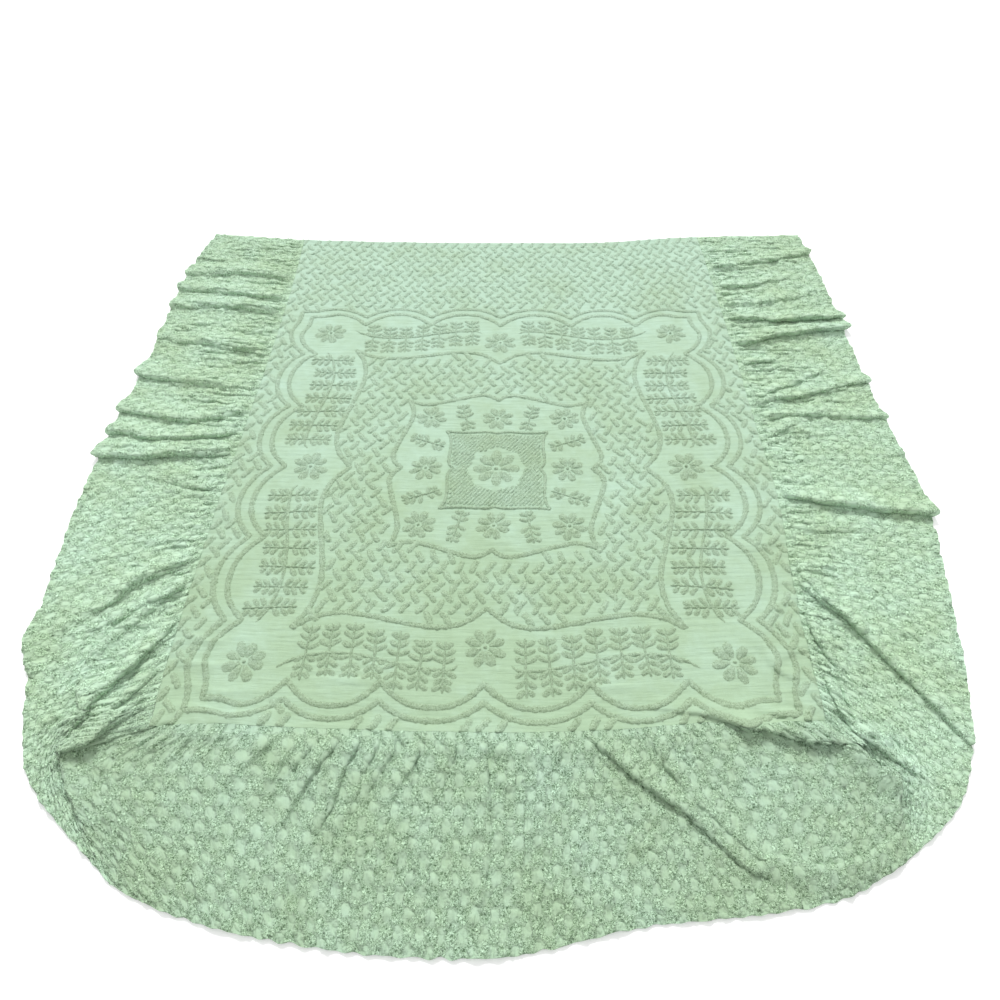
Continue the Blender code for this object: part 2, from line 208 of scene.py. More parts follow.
RIGHT_FOLDS = folds(
    ((0.95, -0.56), (0.99, -0.66), (1.03, -0.80), (14, 16, 6), 30, -0.4),
    ((0.985, -0.42), (1.15, -0.68), (1.33, -0.99), (12, 20, 13), 34, -0.6),
    ((0.98, -0.47), (1.05, -0.55), (1.14, -0.64), (12, 14, 6), 24, -0.4),
    ((0.98, -0.25), (1.16, -0.24), (1.35, -0.25), (8, 10, 4), 40, -0.3),
    ((0.97, -0.09), (1.16, -0.13), (1.52, -0.17), (16, 26, 26), 45, -0.6),
    ((0.97, -0.03), (1.04, -0.03), (1.12, -0.04), (10, 12, 2), 22, -0.4),
    ((0.97, 0.16), (1.06, 0.23), (1.17, 0.28), (8, 12, 4), 26, -0.4),
    ((0.96, 0.25), (1.10, 0.30), (1.49, 0.30), (12, 12, 16), 30, -0.5),
    ((0.97, 0.36), (1.22, 0.43), (1.46, 0.50), (12, 16, 16), 34, -0.6),
    ((0.97, 0.39), (1.08, 0.45), (1.25, 0.53), (12, 12, 6), 24, -0.4),
    ((0.95, 0.58), (1.05, 0.61), (1.15, 0.64), (12, 12, 2), 26, -0.4),
    ((0.95, 0.71), (1.20, 0.79), (1.47, 0.84), (20, 26, 28), 36, -0.7),
    ((0.96, 0.89), (1.20, 0.89), (1.47, 0.90), (16, 26, 28), 34, -0.7),
    ((0.95, 0.99), (1.18, 1.02), (1.38, 1.09), (12, 12, 6), 40, -0.4),
    ((0.94, 1.12), (1.15, 1.15), (1.30, 1.20), (12, 12, 4), 26, -0.4),
    ((0.94, 1.26), (1.18, 1.32), (1.43, 1.39), (16, 14, 14), 34, -0.6),
)

# Folds and soft ripples that run across the seams
SHARED_FOLDS = folds(
    ((-0.96, -0.93), (-0.80, -0.955), (-0.62, -0.95), (4, 6, 2), 30, 0.2),
    ((-0.93, -0.86), (-0.82, -0.885), (-0.66, -0.87), (2, 4, 1), 22, 0.2),
    ((0.42, -0.895), (0.60, -0.925), (0.72, -0.948), (1, 10, 19), 26, -0.75),
    ((0.72, -0.948), (0.85, -0.985), (1.00, -0.998), (19, 25, 23), 28, -0.8),
    ((0.985, -1.025), (1.015, -1.070), (1.065, -1.120), (22, 26, 20), 24, 0.8),
    ((1.05, -0.985), (1.11, -1.045), (1.17, -1.10), (10, 14, 5), 24, -0.6),
    ((1.060, -1.10), (1.062, -1.145), (1.058, -1.20), (18, 18, 6), 20, 0.7),
    ((0.60, -0.895), (0.76, -0.910), (0.93, -0.965), (2, 7, 8), 18, -0.4),
    ((0.98, -0.77), (0.99, -0.87), (1.03, -0.98), (6, 14, 18), 20, -0.4),
    ((1.01, -0.80), (1.03, -0.89), (1.05, -0.98), (4, 12, 14), 18, -0.3),
    ((-1.20, -1.06), (-1.13, -1.17), (-1.03, -1.32), (18, 16, 4), 28, -0.5),
    ((-0.94, -0.972), (-1.07, -1.008), (-1.20, -1.050), (5, 10, 16), 22, 0.5),
    ((0.78, -0.66), (0.83, -0.76), (0.88, -0.80), (2, 8, 6), 18, -0.3),
    ((-0.95, -0.70), (-0.88, -0.71), (-0.82, -0.70), (6, 5, 1), 16, 0.2),
    ((-0.96, -0.79), (-0.86, -0.80), (-0.80, -0.79), (6, 5, 1), 16, 0.2),
    ((-0.55, -0.84), (-0.44, -0.845), (-0.30, -0.835), (1, 4, 1), 14, 0.2),
    ((0.20, -0.84), (0.34, -0.845), (0.48, -0.835), (1, 4, 1), 14, 0.2),
    ((0.93, -0.70), (0.84, -0.74), (0.78, -0.84), (5, 4, 1), 28, 0.2),
    ((0.94, -0.52), (0.86, -0.58), (0.80, -0.70), (5, 4, 1), 26, 0.2),
    ((0.94, -0.30), (0.80, -0.33), (0.62, -0.31), (4, 3, 1), 30, 0.1),
    ((-0.97, 0.55), (-0.82, 0.58), (-0.66, 0.57), (3, 3, 1), 28, 0.1),
    ((-0.96, 1.20), (-0.60, 1.22), (-0.20, 1.19), (2, 3, 1), 50, 0.0),
    ((0.90, 1.34), (0.60, 1.30), (0.20, 1.33), (4, 3, 1), 50, 0.0),
)

# Where the skirts' corners are bunched: middle, radius and height of the crumpling
Crumple = namedtuple("Crumple", "middle radius height")

CRUMPLES = (
    Crumple((-1.17, -1.00), 0.11, 0.009),
    Crumple((-1.08, -0.93), 0.10, 0.005),
    Crumple((1.03, -1.01), 0.09, 0.012),
    Crumple((0.86, -0.97), 0.14, 0.008),
    Crumple((1.10, -1.12), 0.09, 0.009),
)

# Where a gather or wrinkle starts, as distance along and share out, its length as a share, its
# half width, height and slant, how it wavers, and how far it puckers the panel across the seam
Wrinkle = namedtuple(
    "Wrinkle", "place start length width height slant phase inward", defaults=(0.0,)
)


def smoothstep(low, high, values):
    share = np.clip((values - low) / (high - low), 0.0, 1.0)
    return share * share * (3.0 - 2.0 * share)


def hermite(start, end, first, second, span, share):
    """Between start and end, a span apart, with the slopes first and second there."""
    square = share * share
    cube = square * share
    return (
        (2.0 * cube - 3.0 * square + 1.0) * start
        + (cube - 2.0 * square + share) * span * first
        + (3.0 * square - 2.0 * cube) * end
        + (cube - square) * span * second
    )


def ridge(offset, half_width):
    """Cross-section of a wrinkle, 1 at its crest and 0 beyond its sides."""
    return np.cos(0.5 * math.pi * np.clip(offset / half_width, -1.0, 1.0)) ** 1.2


def curve_through(knots, points, places):
    """Places on the smooth curve that passes through points at knots."""
    knots = np.asarray(knots, float)
    points = np.asarray(points, float)
    places = np.atleast_1d(np.asarray(places, float))
    last = len(knots) - 1
    index = np.clip(np.searchsorted(knots, places, side="right") - 1, 0, last - 1)
    before = np.clip(np.arange(last + 1) - 1, 0, last)
    after = np.clip(np.arange(last + 1) + 1, 0, last)
    slopes = (points[after] - points[before]) / (knots[after] - knots[before])[:, None]
    span = (knots[index + 1] - knots[index])[:, None]
    share = (places - knots[index])[:, None] / span
    return hermite(points[index], points[index + 1], slopes[index], slopes[index + 1], span, share)


def distances(points):
    """Distance along a polyline to each of its points."""
    return np.concatenate([[0.0], np.cumsum(np.linalg.norm(np.diff(points, axis=0), axis=1))])


def add_folds(place, folds, shear):
    """Lift of the folds over each place in plan, and the push towards their steep sides."""
    total = np.zeros(place.shape[:-1])
    push = np.zeros(place.shape)
    shares = np.linspace(0.0, 1.0, CREST_SAMPLES + 1)
    for fold in folds:
        crest = curve_through([0.0, 0.5, 1.0], [fold.start, fold.middle, fold.end], shares)
        crest = crest + np.stack([WANDER.at(crest), WANDER.at(crest[:, ::-1])], axis=1)
        heights = curve_through([0.0, 0.5, 1.0], np.array(fold.heights)[:, None], shares)[:, 0]
        margin = fold.half_width * (1.0 + abs(fold.steep))
        near = (place > crest.min(axis=0) - margin) & (place < crest.max(axis=0) + margin)
        near = near.all(axis=-1)
        here = place[near]
        nearest = np.full(len(here), np.inf)
        side = np.zeros(len(here))
        height = np.zeros(len(here))
        left = np.zeros(here.shape)
        for index in range(CREST_SAMPLES):
            start = crest[index]
            step = crest[index + 1] - start
            along = np.clip(((here - start) @ step) / (step @ step), 0.0, 1.0)
            offset = here - (start + along[:, None] * step)
            distance = np.hypot(offset[:, 0], offset[:, 1])
            closer = distance < nearest
            normal = np.array([-step[1], step[0]]) / math.hypot(*step)
            nearest = np.where(closer, distance, nearest)
            side = np.where(closer, offset @ normal, side)
            local = heights[index] * (1.0 - along) + heights[index + 1] * along
            height = np.where(closer, local, height)
            left = np.where(closer[:, None], normal, left)
        reach = fold.half_width * (1.0 + np.where(side > 0.0, -fold.steep, fold.steep))
        # rounded down to a crisp crease on the steep side, and drawn out on the other
        power = np.where(side * fold.steep > 0.0, 0.8, 1.4)
        lift = height * np.cos(0.5 * math.pi * np.minimum(nearest / reach, 1.0)) ** power
        total[near] += lift
        push[near] += left * (math.copysign(shear, fold.steep) * bool(fold.steep) * lift)[:, None]
    return total, push


class Ripple:
    """Smooth seeded unevenness over the plan, the same each time a place is read."""

    def __init__(self, amplitude, wavelength):
        heading = rng.uniform(0.0, 2.0 * math.pi, RIPPLE_WAVES)
        number = 2.0 * math.pi / (wavelength * rng.uniform(0.7, 1.5, RIPPLE_WAVES))
        self.numbers = np.stack([np.cos(heading), np.sin(heading)]) * number
        self.phases = rng.uniform(0.0, 2.0 * math.pi, RIPPLE_WAVES)
        self.amplitude = amplitude / math.sqrt(RIPPLE_WAVES)

    def at(self, place):
        return self.amplitude * np.sin(place @ self.numbers + self.phases).sum(axis=-1)


# amplitude and wavelength of each unevenness, and of how a fold's crest wanders
BROAD = Ripple(0.0009, 0.22)
FINE = Ripple(0.0005, 0.06)
SWELL = Ripple(0.0018, 0.16)
LUMPS = Ripple(0.0020, 0.05)
FRAY = Ripple(0.0024, 0.040)
CRUMPLED = Ripple(1.0, 0.036)
WANDER = Ripple(0.0050, 0.19)


def lie(place):
    """Height of cloth that only lies on the floor, with faint pulls across it."""
    pulls = np.sin(2.0 * math.pi * place[..., 1] / PULL_PITCH + 3.0 * np.sin(5.0 * place[..., 0]))
    uneven = np.maximum(0.0010 + BROAD.at(place) + FINE.at(place), 0.0)
    return uneven + PULL_HEIGHT * (1.0 + pulls)


def crumpled(place):
    """Sharp small creases where the cloth is bunched."""
    total = np.zeros(place.shape[:-1])
    creases = 1.0 - np.abs(CRUMPLED.at(place))
    for spot in CRUMPLES:
        offset = place - np.array(spot.middle)
        share = np.hypot(offset[..., 0], offset[..., 1]) / spot.radius
        total += spot.height * np.clip(creases, 0.0, 1.0) * (1.0 - smoothstep(0.2, 1.0, share))
    return total


class Cloth:
    """A sheet's underside as a fine grid of places, read at shares u (first axis) and v.

    across gives the place of each row on the cloth laid flat, and depth is that cloth's size in v.
    """

    def __init__(self, grid, across, depth):
        self.grid = grid
        self.across = across
        self.depth = depth
        along = np.gradient(grid, axis=0) * (grid.shape[0] - 1)
        out = np.gradient(grid, axis=1) * (grid.shape[1] - 1)
        normal = np.cross(along, out)
        normal /= np.linalg.norm(normal, axis=2, keepdims=True)
        self.turned = normal[..., 2].mean() < 0.0
        self.normal = -normal if self.turned else normal
        self.metric = np.stack(
            [np.linalg.norm(along, axis=2), np.linalg.norm(out, axis=2)], axis=2
        )

    def read(self, table, u, v):
        rows = np.clip(u, 0.0, 1.0) * (table.shape[0] - 1)
        columns = np.clip(v, 0.0, 1.0) * (table.shape[1] - 1)
        row = np.minimum(rows.astype(int), table.shape[0] - 2)
        column = np.minimum(columns.astype(int), table.shape[1] - 2)
        fr = (rows - row)[..., None]
        fc = (columns - column)[..., None]
        near = table[row, column] * (1.0 - fc) + table[row, column + 1] * fc
        far = table[row + 1, column] * (1.0 - fc) + table[row + 1, column + 1] * fc
        return near * (1.0 - fr) + far * fr

    def place(self, u, v, height):
        normal = self.read(self.normal, u, v)
        normal /= np.linalg.norm(normal, axis=-1, keepdims=True)
        places = self.read(self.grid, u, v) + normal * np.asarray(height)[..., None]
        places[..., 2] = np.maximum(places[..., 2], 0.0)
        return places

    def laid_flat(self, u, v):
        """Where shares lie on the cloth laid flat, in metres."""
        rows = np.linspace(0.0, 1.0, len(self.across))
        return np.stack([np.interp(u, rows, self.across), v * self.depth], axis=-1)


class Skirt:
    """One gathered skirt: a loft of ribs from seam to hem, with folds and gathers."""

    def __init__(self, ribs, folds, lean, gather_pitch, lengths, lively):
        self.lean = lean
        self.lively = np.array(lively)
        seam = np.array([rib.seam for rib in ribs])
        hem = np.array([rib.hem for rib in ribs])
        knee = np.array([
            rib.knee or tuple(np.array(rib.seam) * (1.0 - KNEE) + np.array(rib.hem) * KNEE)
            for rib in ribs
        ])
        steps = np.linalg.norm(np.diff(seam, axis=0), axis=1)
        steps = (steps + np.linalg.norm(np.diff(hem, axis=0), axis=1)) / 2.0
        knots = np.concatenate([[0.0], np.cumsum(steps)])
        self.length = knots[-1]
        self.along = np.linspace(0.0, self.length, round(self.length / SURFACE_STEP) + 1)
        self.out = np.linspace(0.0, 1.0, round(DROP / SURFACE_STEP) + 1)
        self.seam = curve_through(knots, seam, self.along)
        knee_line = curve_through(knots, knee, self.along)
        self.hem = curve_through(knots, hem, self.along)
        self.hem_distance = distances(self.hem)
        self.seam_distance = distances(self.seam)
        self.seam_wrinkles = self.gathered(gather_pitch, lengths)
        self.free_wrinkles = self.scattered()
        plan = self.loft(self.seam, knee_line, self.hem)

        lift, push = add_folds(plan, folds, FOLD_SHEAR)
        rise = smoothstep(0.015, 0.10, self.out)[None, :]
        ends = self.ends(self.along)[:, None]
        lift = lift * rise * ends
        push = push * (rise * ends)[..., None]
        wrinkles = self.wrinkled(plan) * ends
        uneven = np.maximum(0.0016 + SWELL.at(plan) + LUMPS.at(plan), 0.0) * rise * ends
        uneven += self.puffs() * rise
        shared_lift, shared_push = add_folds(plan, SHARED_FOLDS, FOLD_SHEAR)
        uneven += crumpled(plan)
        outward = plan - self.loft(self.seam, knee_line, self.hem, KNEE)
        outward /= np.maximum(np.linalg.norm(outward, axis=2, keepdims=True), 1e-6)
        flare = HEM_FLARE * lift * (self.out ** 2)[None, :]
        fray = FRAY.at(plan) * smoothstep(0.9, 1.0, self.out)[None, :]
        sideways = np.gradient(plan, axis=0)
        sideways /= np.linalg.norm(sideways, axis=2, keepdims=True)
        lean = WRINKLE_LEAN * self.lean * wrinkles * rise
        height = lie(plan) + shared_lift + lift + wrinkles + uneven
        over = np.maximum(height - SOFT_LIMIT, 0.0)
        height = np.minimum(height, SOFT_LIMIT) + SOFT_RANGE * np.tanh(over / SOFT_RANGE)
        plan = plan + push + shared_push
        plan = plan + outward * (flare + fray)[..., None] + sideways * lean[..., None]
        grid = np.concatenate([plan, height[..., None]], axis=2)
        self.cloth = Cloth(grid, self.hem_distance, DROP)

    def ends(self, along):
        """Fades folds out where a skirt meets the next one, or ends at the head."""
        return smoothstep(*ENDS_FADE, along) * smoothstep(*ENDS_FADE, self.length - along)

    def loft(self, seam, knee, hem, scale=1.0):
        """Plan of the ribs. scale below 1 reads each place nearer to the seam."""
        out = (self.out * scale)[None, :, None]
        seam, knee, hem = seam[:, None, :], knee[:, None, :], hem[:, None, :]
        low = hermite(seam, knee, (knee - seam) / KNEE, hem - seam, KNEE, out / KNEE)
        rest = 1.0 - KNEE
        high = hermite(knee, hem, hem - seam, (hem - knee) / rest, rest, (out - KNEE) / rest)
        return np.where(out < KNEE, low, high)

    def strength(self, place):
        """How lively the wrinkles are at a place along the skirt, 0 to 1."""
        return float(np.interp(place / self.length, self.lively[:, 0], self.lively[:, 1]))

    def gathered(self, pitch, lengths):
        """Gathers along the seam, at random pitches."""
        wrinkles = []
        place = rng.uniform(*pitch)
        while place < self.seam_distance[-1]:
            along = float(np.interp(place, self.seam_distance, self.along))
            strength = self.strength(along)
            wrinkles.append(Wrinkle(
                along,
                0.0,
                rng.uniform(*lengths) * (0.4 + 0.6 * strength),
                0.62 * rng.uniform(*pitch),
                rng.uniform(*GATHER_HEIGHTS) * (0.6 + 0.4 * strength),
                rng.uniform(-0.10, 0.10),
                rng.uniform(0.0, 6.3),
                rng.uniform(*GATHER_INWARD),
            ))
            place += rng.uniform(*pitch)
        return wrinkles

    def scattered(self):
        """Wrinkles that start anywhere between the seam and the hem."""
        wrinkles = []
        place = 0.0
        while place < self.length:
            wrinkles.append(Wrinkle(
                place,
                rng.uniform(0.08, 0.75),
                rng.uniform(0.15, 0.50),
                rng.uniform(*WRINKLE_HALF_WIDTHS),
                rng.uniform(*WRINKLE_HEIGHTS) * self.strength(place),
                rng.uniform(-0.14, 0.14),
                rng.uniform(0.0, 6.3),
            ))
            place += rng.uniform(*WRINKLE_PITCH)
        return wrinkles

    def wrinkled(self, plan):
        """Height of the wrinkles: rounded ridges that meet in sharp creases."""
        step = self.along[1] - self.along[0]
        stretch = np.linalg.norm(np.gradient(plan, axis=0), axis=2) / step
        total = np.zeros(stretch.shape)
        out = self.out[None, :]
        for wrinkle in self.seam_wrinkles + self.free_wrinkles:
            near = np.abs(self.along - wrinkle.place) < 0.15
            run = (out - wrinkle.start) * DROP
            waver = WAVER * np.sin(2.0 * math.pi * run / WAVER_LENGTH + wrinkle.phase)
            offset = (self.along[near][:, None] - wrinkle.place) * stretch[near]
            offset = offset - wrinkle.slant * run - waver * smoothstep(0.0, 0.03, np.abs(run))
            share = (out - wrinkle.start) / wrinkle.length
            fade = 1.0 - smoothstep(0.45, 1.0, share)
            if wrinkle.start == 0.0:
                fade = fade * (0.55 + 0.45 * smoothstep(0.0, 0.06, out))
            else:
                fade = fade * smoothstep(-0.25, 0.20, share)
            lift = wrinkle.height * fade * ridge(offset, wrinkle.width)
            total[near] = np.maximum(total[near], lift)
        return total

    def puckers(self, along, inward):
        """The seam's gathers lift the panel, by share along the seam and distance in from it."""
        place = np.interp(along * self.seam_distance[-1], self.seam_distance, self.along)
        stretch = self.seam_distance[-1] / self.length
        total = np.zeros(place.shape)
        for wrinkle in self.seam_wrinkles:
            near = np.abs(place[:, 0] - wrinkle.place) < 0.05
            offset = (place[near] - wrinkle.place) * stretch + wrinkle.slant * inward[near]
            fade = SEAM_PUCKER * (1.0 - smoothstep(0.0, wrinkle.inward, inward[near]))
            lift = wrinkle.height * fade * ridge(offset, wrinkle.width)
            total[near] = np.maximum(total[near], lift)
        return total * self.ends(place)

    def puffs(self):
        """The cloth swells a little between the tufted bars."""
        a = self.hem_distance[:, None] / BAR_PITCH
        b = (self.out * DROP)[None, :] / ROW_PITCH
        chequer = np.cos(2.0 * math.pi * (a - 0.75)) * np.cos(math.pi * (b - 0.5))
        return PUFF_HEIGHT * np.maximum(chequer, 0.0)

    def bars(self):
        """Middles of the tufted bars as shares (u, v), and which way each slants."""
        middles = []
        slants = []
        rows = int(DROP / ROW_PITCH)
        count = int(self.hem_distance[-1] / BAR_PITCH)
        for row in range(rows):
            v = (row + 0.5) * ROW_PITCH / DROP
            shift = 0.0 if row % 2 == 0 else 0.5
            places = (np.arange(count) + shift + 0.25) * BAR_PITCH
            u = np.interp(places, self.hem_distance, self.along) / self.length
            here = self.cloth.read(self.cloth.metric, u, np.full(len(u), v))[:, 0]
            at_hem = self.cloth.read(self.cloth.metric, u, np.ones(len(u)))[:, 0]
            spacing = here / at_hem
            every = np.ceil(0.6 / np.maximum(spacing, 0.05)).astype(int)
            kept = np.arange(count) % every == 0
            middles.append(np.stack([u[kept], np.full(kept.sum(), v)], axis=1))
            slants.append(np.full(kept.sum(), 1.0 if row % 2 == 0 else -1.0))
        return np.concatenate(middles), np.concatenate(slants)


def panel_cloth(left, foot, right):
    """The panel, spanned between the three seams and the head edge."""

    def evenly(points, count):
        along = distances(points)
        shares = np.linspace(0.0, along[-1], count)
        return np.stack([np.interp(shares, along, points[:, axis]) for axis in (0, 1)], axis=1)

    across = round(PANEL_WIDTH / SURFACE_STEP / 2) * 2 + 1
    up = round(PANEL_LENGTH / SURFACE_STEP / 2) * 2 + 1
    head = np.array(HEAD_EDGE)
    head = curve_through(distances(head), head, np.linspace(0.0, distances(head)[-1], 200))
    west = evenly(left.seam[::-1], up)[None, :, :]
    east = evenly(right.seam, up)[None, :, :]
    south = evenly(foot.seam, across)[:, None, :]
    north = evenly(head, across)[:, None, :]
    u = np.linspace(0.0, 1.0, across)[:, None, None]
    v = np.linspace(0.0, 1.0, up)[None, :, None]
    corners = (
        (1 - u) * (1 - v) * south[0] + u * (1 - v) * south[-1]
        + (1 - u) * v * north[0] + u * v * north[-1]
    )
    plan = (1 - u) * west + u * east + (1 - v) * south + v * north - corners
    lift, push = add_folds(plan, SHARED_FOLDS, FOLD_SHEAR)
    along = np.broadcast_to(v[..., 0], plan.shape[:2])
    across_share = np.broadcast_to(u[..., 0], plan.shape[:2])
    height = lie(plan) + crumpled(plan) + lift
    plan = plan + push
    height += left.puckers(1.0 - along.T, across_share.T * PANEL_WIDTH).T
    height += right.puckers(along.T, (1.0 - across_share.T) * PANEL_WIDTH).T
    height += foot.puckers(across_share, along * PANEL_LENGTH)
    grid = np.concatenate([plan, height[..., None]], axis=2)
    return Cloth(grid, np.linspace(0.0, PANEL_WIDTH, across), PANEL_LENGTH)


# the share along each skirt, and how lively its wrinkles are there
LEFT_LIVELY = ((0.0, 0.8), (0.45, 0.9), (0.58, 0.35), (0.72, 0.50), (1.0, 0.75))
FOOT_LIVELY = ((0.0, 0.6), (0.15, 0.8), (0.50, 0.8), (0.70, 0.25), (1.0, 0.50))
RIGHT_LIVELY = ((0.0, 0.6), (0.12, 0.35), (0.42, 0.25), (0.55, 0.8), (1.0, 0.8))

left = Skirt(LEFT_RIBS, LEFT_FOLDS, 1.0, (0.013, 0.027), (0.12, 0.75), LEFT_LIVELY)
foot = Skirt(FOOT_RIBS, FOOT_FOLDS, 0.4, (0.018, 0.045), (0.10, 0.50), FOOT_LIVELY)
right = Skirt(RIGHT_RIBS, RIGHT_FOLDS, -1.0, (0.013, 0.027), (0.12, 0.75), RIGHT_LIVELY)
panel = panel_cloth(left, foot, right)

# part.py centres the laid cloth on the origin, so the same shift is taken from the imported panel
low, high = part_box("panel")
panel_box = panel.grid[..., :2].reshape(-1, 2)
middle = (panel_box.min(axis=0) + panel_box.max(axis=0)) / 2.0
shift = np.array([(low.x + high.x) / 2.0, (low.y + high.y) / 2.0]) - middle
for cloth in (panel, left.cloth, foot.cloth, right.cloth):
    cloth.grid[..., :2] += shift

# ---------------------------------------------------------------- meshes


def mesh_object(name, points, flat, quads, material, triangles=(), edges=()):
    """A mesh of quads and triangles.

    flat is where each point lies on the cloth laid flat, and edges are the points on sharp edges.
    """
    points = np.ascontiguousarray(points, np.float32)
    quads = np.asarray(quads, np.int32)
    triangles = np.asarray(triangles, np.int32).reshape(-1, 3)
    corners = np.concatenate([quads.ravel(), triangles.ravel()])
    starts = np.concatenate([
        np.arange(0, quads.size, 4), quads.size + np.arange(0, triangles.size, 3)
    ]).astype(np.int32)
    mesh = bpy.data.meshes.new(name)
    mesh.vertices.add(len(points))
    mesh.vertices.foreach_set("co", points.ravel())
    mesh.loops.add(len(corners))
    mesh.loops.foreach_set("vertex_index", corners)
    mesh.polygons.add(len(starts))
    mesh.polygons.foreach_set("loop_start", starts)
    mesh.update(calc_edges=True)
    layer = mesh.uv_layers.new(name="flat")
    layer.data.foreach_set("uv", np.asarray(flat, np.float32)[corners].ravel())
    mesh.validate()
    mesh.shade_smooth()
    if len(edges):
        on_edge = np.zeros(len(points), bool)
        on_edge[edges] = True
        ends = np.empty(len(mesh.edges) * 2, np.int32)
        mesh.edges.foreach_get("vertices", ends)
        sharp = on_edge[ends].reshape(-1, 2).all(axis=1)
        mesh.attributes.new("sharp_edge", "BOOLEAN", "EDGE").data.foreach_set("value", sharp)
    mesh.materials.append(material)
    piece = bpy.data.objects.new(name, mesh)
    bpy.context.scene.collection.objects.link(piece)
    return piece


def grid_quads(rows, columns):
    corner = (np.arange(rows - 1)[:, None] * columns + np.arange(columns - 1)[None, :]).ravel()
    return np.stack([corner, corner + columns, corner + columns + 1, corner + 1], axis=1)


def rim(rows, columns):
    """Indices round the edge of a grid, in order."""
    index = np.arange(rows * columns).reshape(rows, columns)
    return np.concatenate([index[:, 0], index[-1, 1:], index[-2::-1, -1], index[0, -2:0:-1]])


def lowest_around(heights):
    padded = np.pad(heights, 1, mode="edge")
    rows, columns = heights.shape
    windows = [padded[i:i + rows, j:j + columns] for i in range(3) for j in range(3)]
    return np.minimum.reduce(windows)


def sheet(name, cloth, u, v, thickness, material):
    """A closed thin sheet: a fine top, over an underside with half as many points each way."""
    uu, vv = np.meshgrid(u, v, indexing="ij")
    thick = np.broadcast_to(thickness, uu.shape)
    top = cloth.place(uu, vv, thick)
    under = cloth.place(uu, vv, np.zeros(uu.shape))
    under[..., 2] = lowest_around(under[..., 2])
    under = under[::2, ::2]
    count = uu.size
    fine = rim(*uu.shape)
    coarse = rim(*under.shape[:2]) + count
    middle, before = fine[1::2], fine[0::2]
    after = np.roll(before, -1)
    next_coarse = np.roll(coarse, -1)
    quads = np.concatenate([
        grid_quads(*uu.shape),
        grid_quads(*under.shape[:2])[:, ::-1] + count,
        np.stack([middle, before, coarse, next_coarse], axis=1),
    ])
    triangles = np.stack([after, middle, next_coarse], axis=1)
    if cloth.turned:
        quads = quads[:, ::-1]
        triangles = triangles[:, ::-1]
    flat = cloth.laid_flat(uu, vv)
    points = np.concatenate([top.reshape(-1, 3), under.reshape(-1, 3)])
    flat = np.concatenate([flat.reshape(-1, 2), flat[::2, ::2].reshape(-1, 2)])
    return mesh_object(name, points, flat, quads, material, triangles, fine)


class Pile:
    """Strips of tufting on one cloth, joined into one mesh."""

    def __init__(self, cloth, rough=0.35):
        self.cloth = cloth
        self.rough = rough
        self.points = []
        self.flat = []
        self.quads = []
        self.count = 0

    def add(self, centre, side, width, height, across=6):
        """centre and side are (strips, stations, 2) shares; side spans one metre to the left."""
        strips, stations = centre.shape[:2]
        turn = np.linspace(-1.0, 1.0, across + 1)
        lumps = 1.0 + self.rough * rng.uniform(-1.0, 1.0, (strips, stations, across + 1))
        dome = np.sqrt(np.maximum(1.0 - np.abs(turn) ** 3, 0.0))[None, None, :]
        dome = dome * height[..., None] * lumps
        reach = turn * width[..., None] / 2.0
        reach = reach * (1.0 + 0.5 * self.rough * rng.uniform(-1.0, 1.0, reach.shape))
        shares = centre[:, :, None, :] + side[:, :, None, :] * reach[..., None]
        lifted = CLOTH_THICKNESS - PILE_SINK + dome
        points = self.cloth.place(shares[..., 0], shares[..., 1], lifted)
        block = grid_quads(stations, across + 1)
        offsets = self.count + np.arange(strips) * stations * (across + 1)
        self.points.append(points.reshape(-1, 3))
        self.flat.append(self.cloth.laid_flat(shares[..., 0], shares[..., 1]).reshape(-1, 2))
        self.quads.append((block[None, :, :] + offsets[:, None, None]).reshape(-1, 4))
        self.count += strips * stations * (across + 1)

    def build(self, name, material):
        quads = np.concatenate(self.quads)
        if self.cloth.turned:
            quads = quads[:, ::-1]
        return mesh_object(
            name, np.concatenate(self.points), np.concatenate(self.flat), quads, material
        )


# ---------------------------------------------------------------- materials

MINT = (0.488, 0.672, 0.534)
SAGE = (0.412, 0.562, 0.384)

# A dye's depth, how far it is cast towards mint, and how much further towards the head, where the
# lighter mint is also painted light: the cloth painted brighter towards the head end and darker
# towards the foot
Dye = namedtuple("Dye", "depth cast head_cast")

PANEL_DYE = Dye(0.95, 0.02, 0.30)
WEAVE_DYE = Dye(0.99, 0.02, 0.30)
MOTIF_DYE = Dye(0.93, -0.02, 0.30)
# the side skirts are painted lighter than the foot skirt, painted light that offsets the shade of
# their deeper wrinkles
SIDE_DYE_PAINTED_LIGHTER = Dye(1.13, 0.0, -0.03)
FOOT_DYE = Dye(0.95, 0.09, 0.14)

# Painted shade and highlight of the pile's loops, from painted shade in the gaps between them to
# painted highlights on their tips
DEEP_CURL_SHADING = (
    (0.38, (0.19, 0.26, 0.18)),
    (0.46, (0.73, 0.79, 0.70)),
    (0.54, (1.04, 1.06, 1.03)),
    (0.63, (1.55, 1.55, 1.55)),
)
SOFT_CURL_SHADING = (
    (0.35, (0.50, 0.53, 0.44)),
    (0.45, (0.82, 0.83, 0.77)),
    (0.54, (0.98, 0.98, 0.95)),
    (0.66, (1.17, 1.15, 1.13)),
)


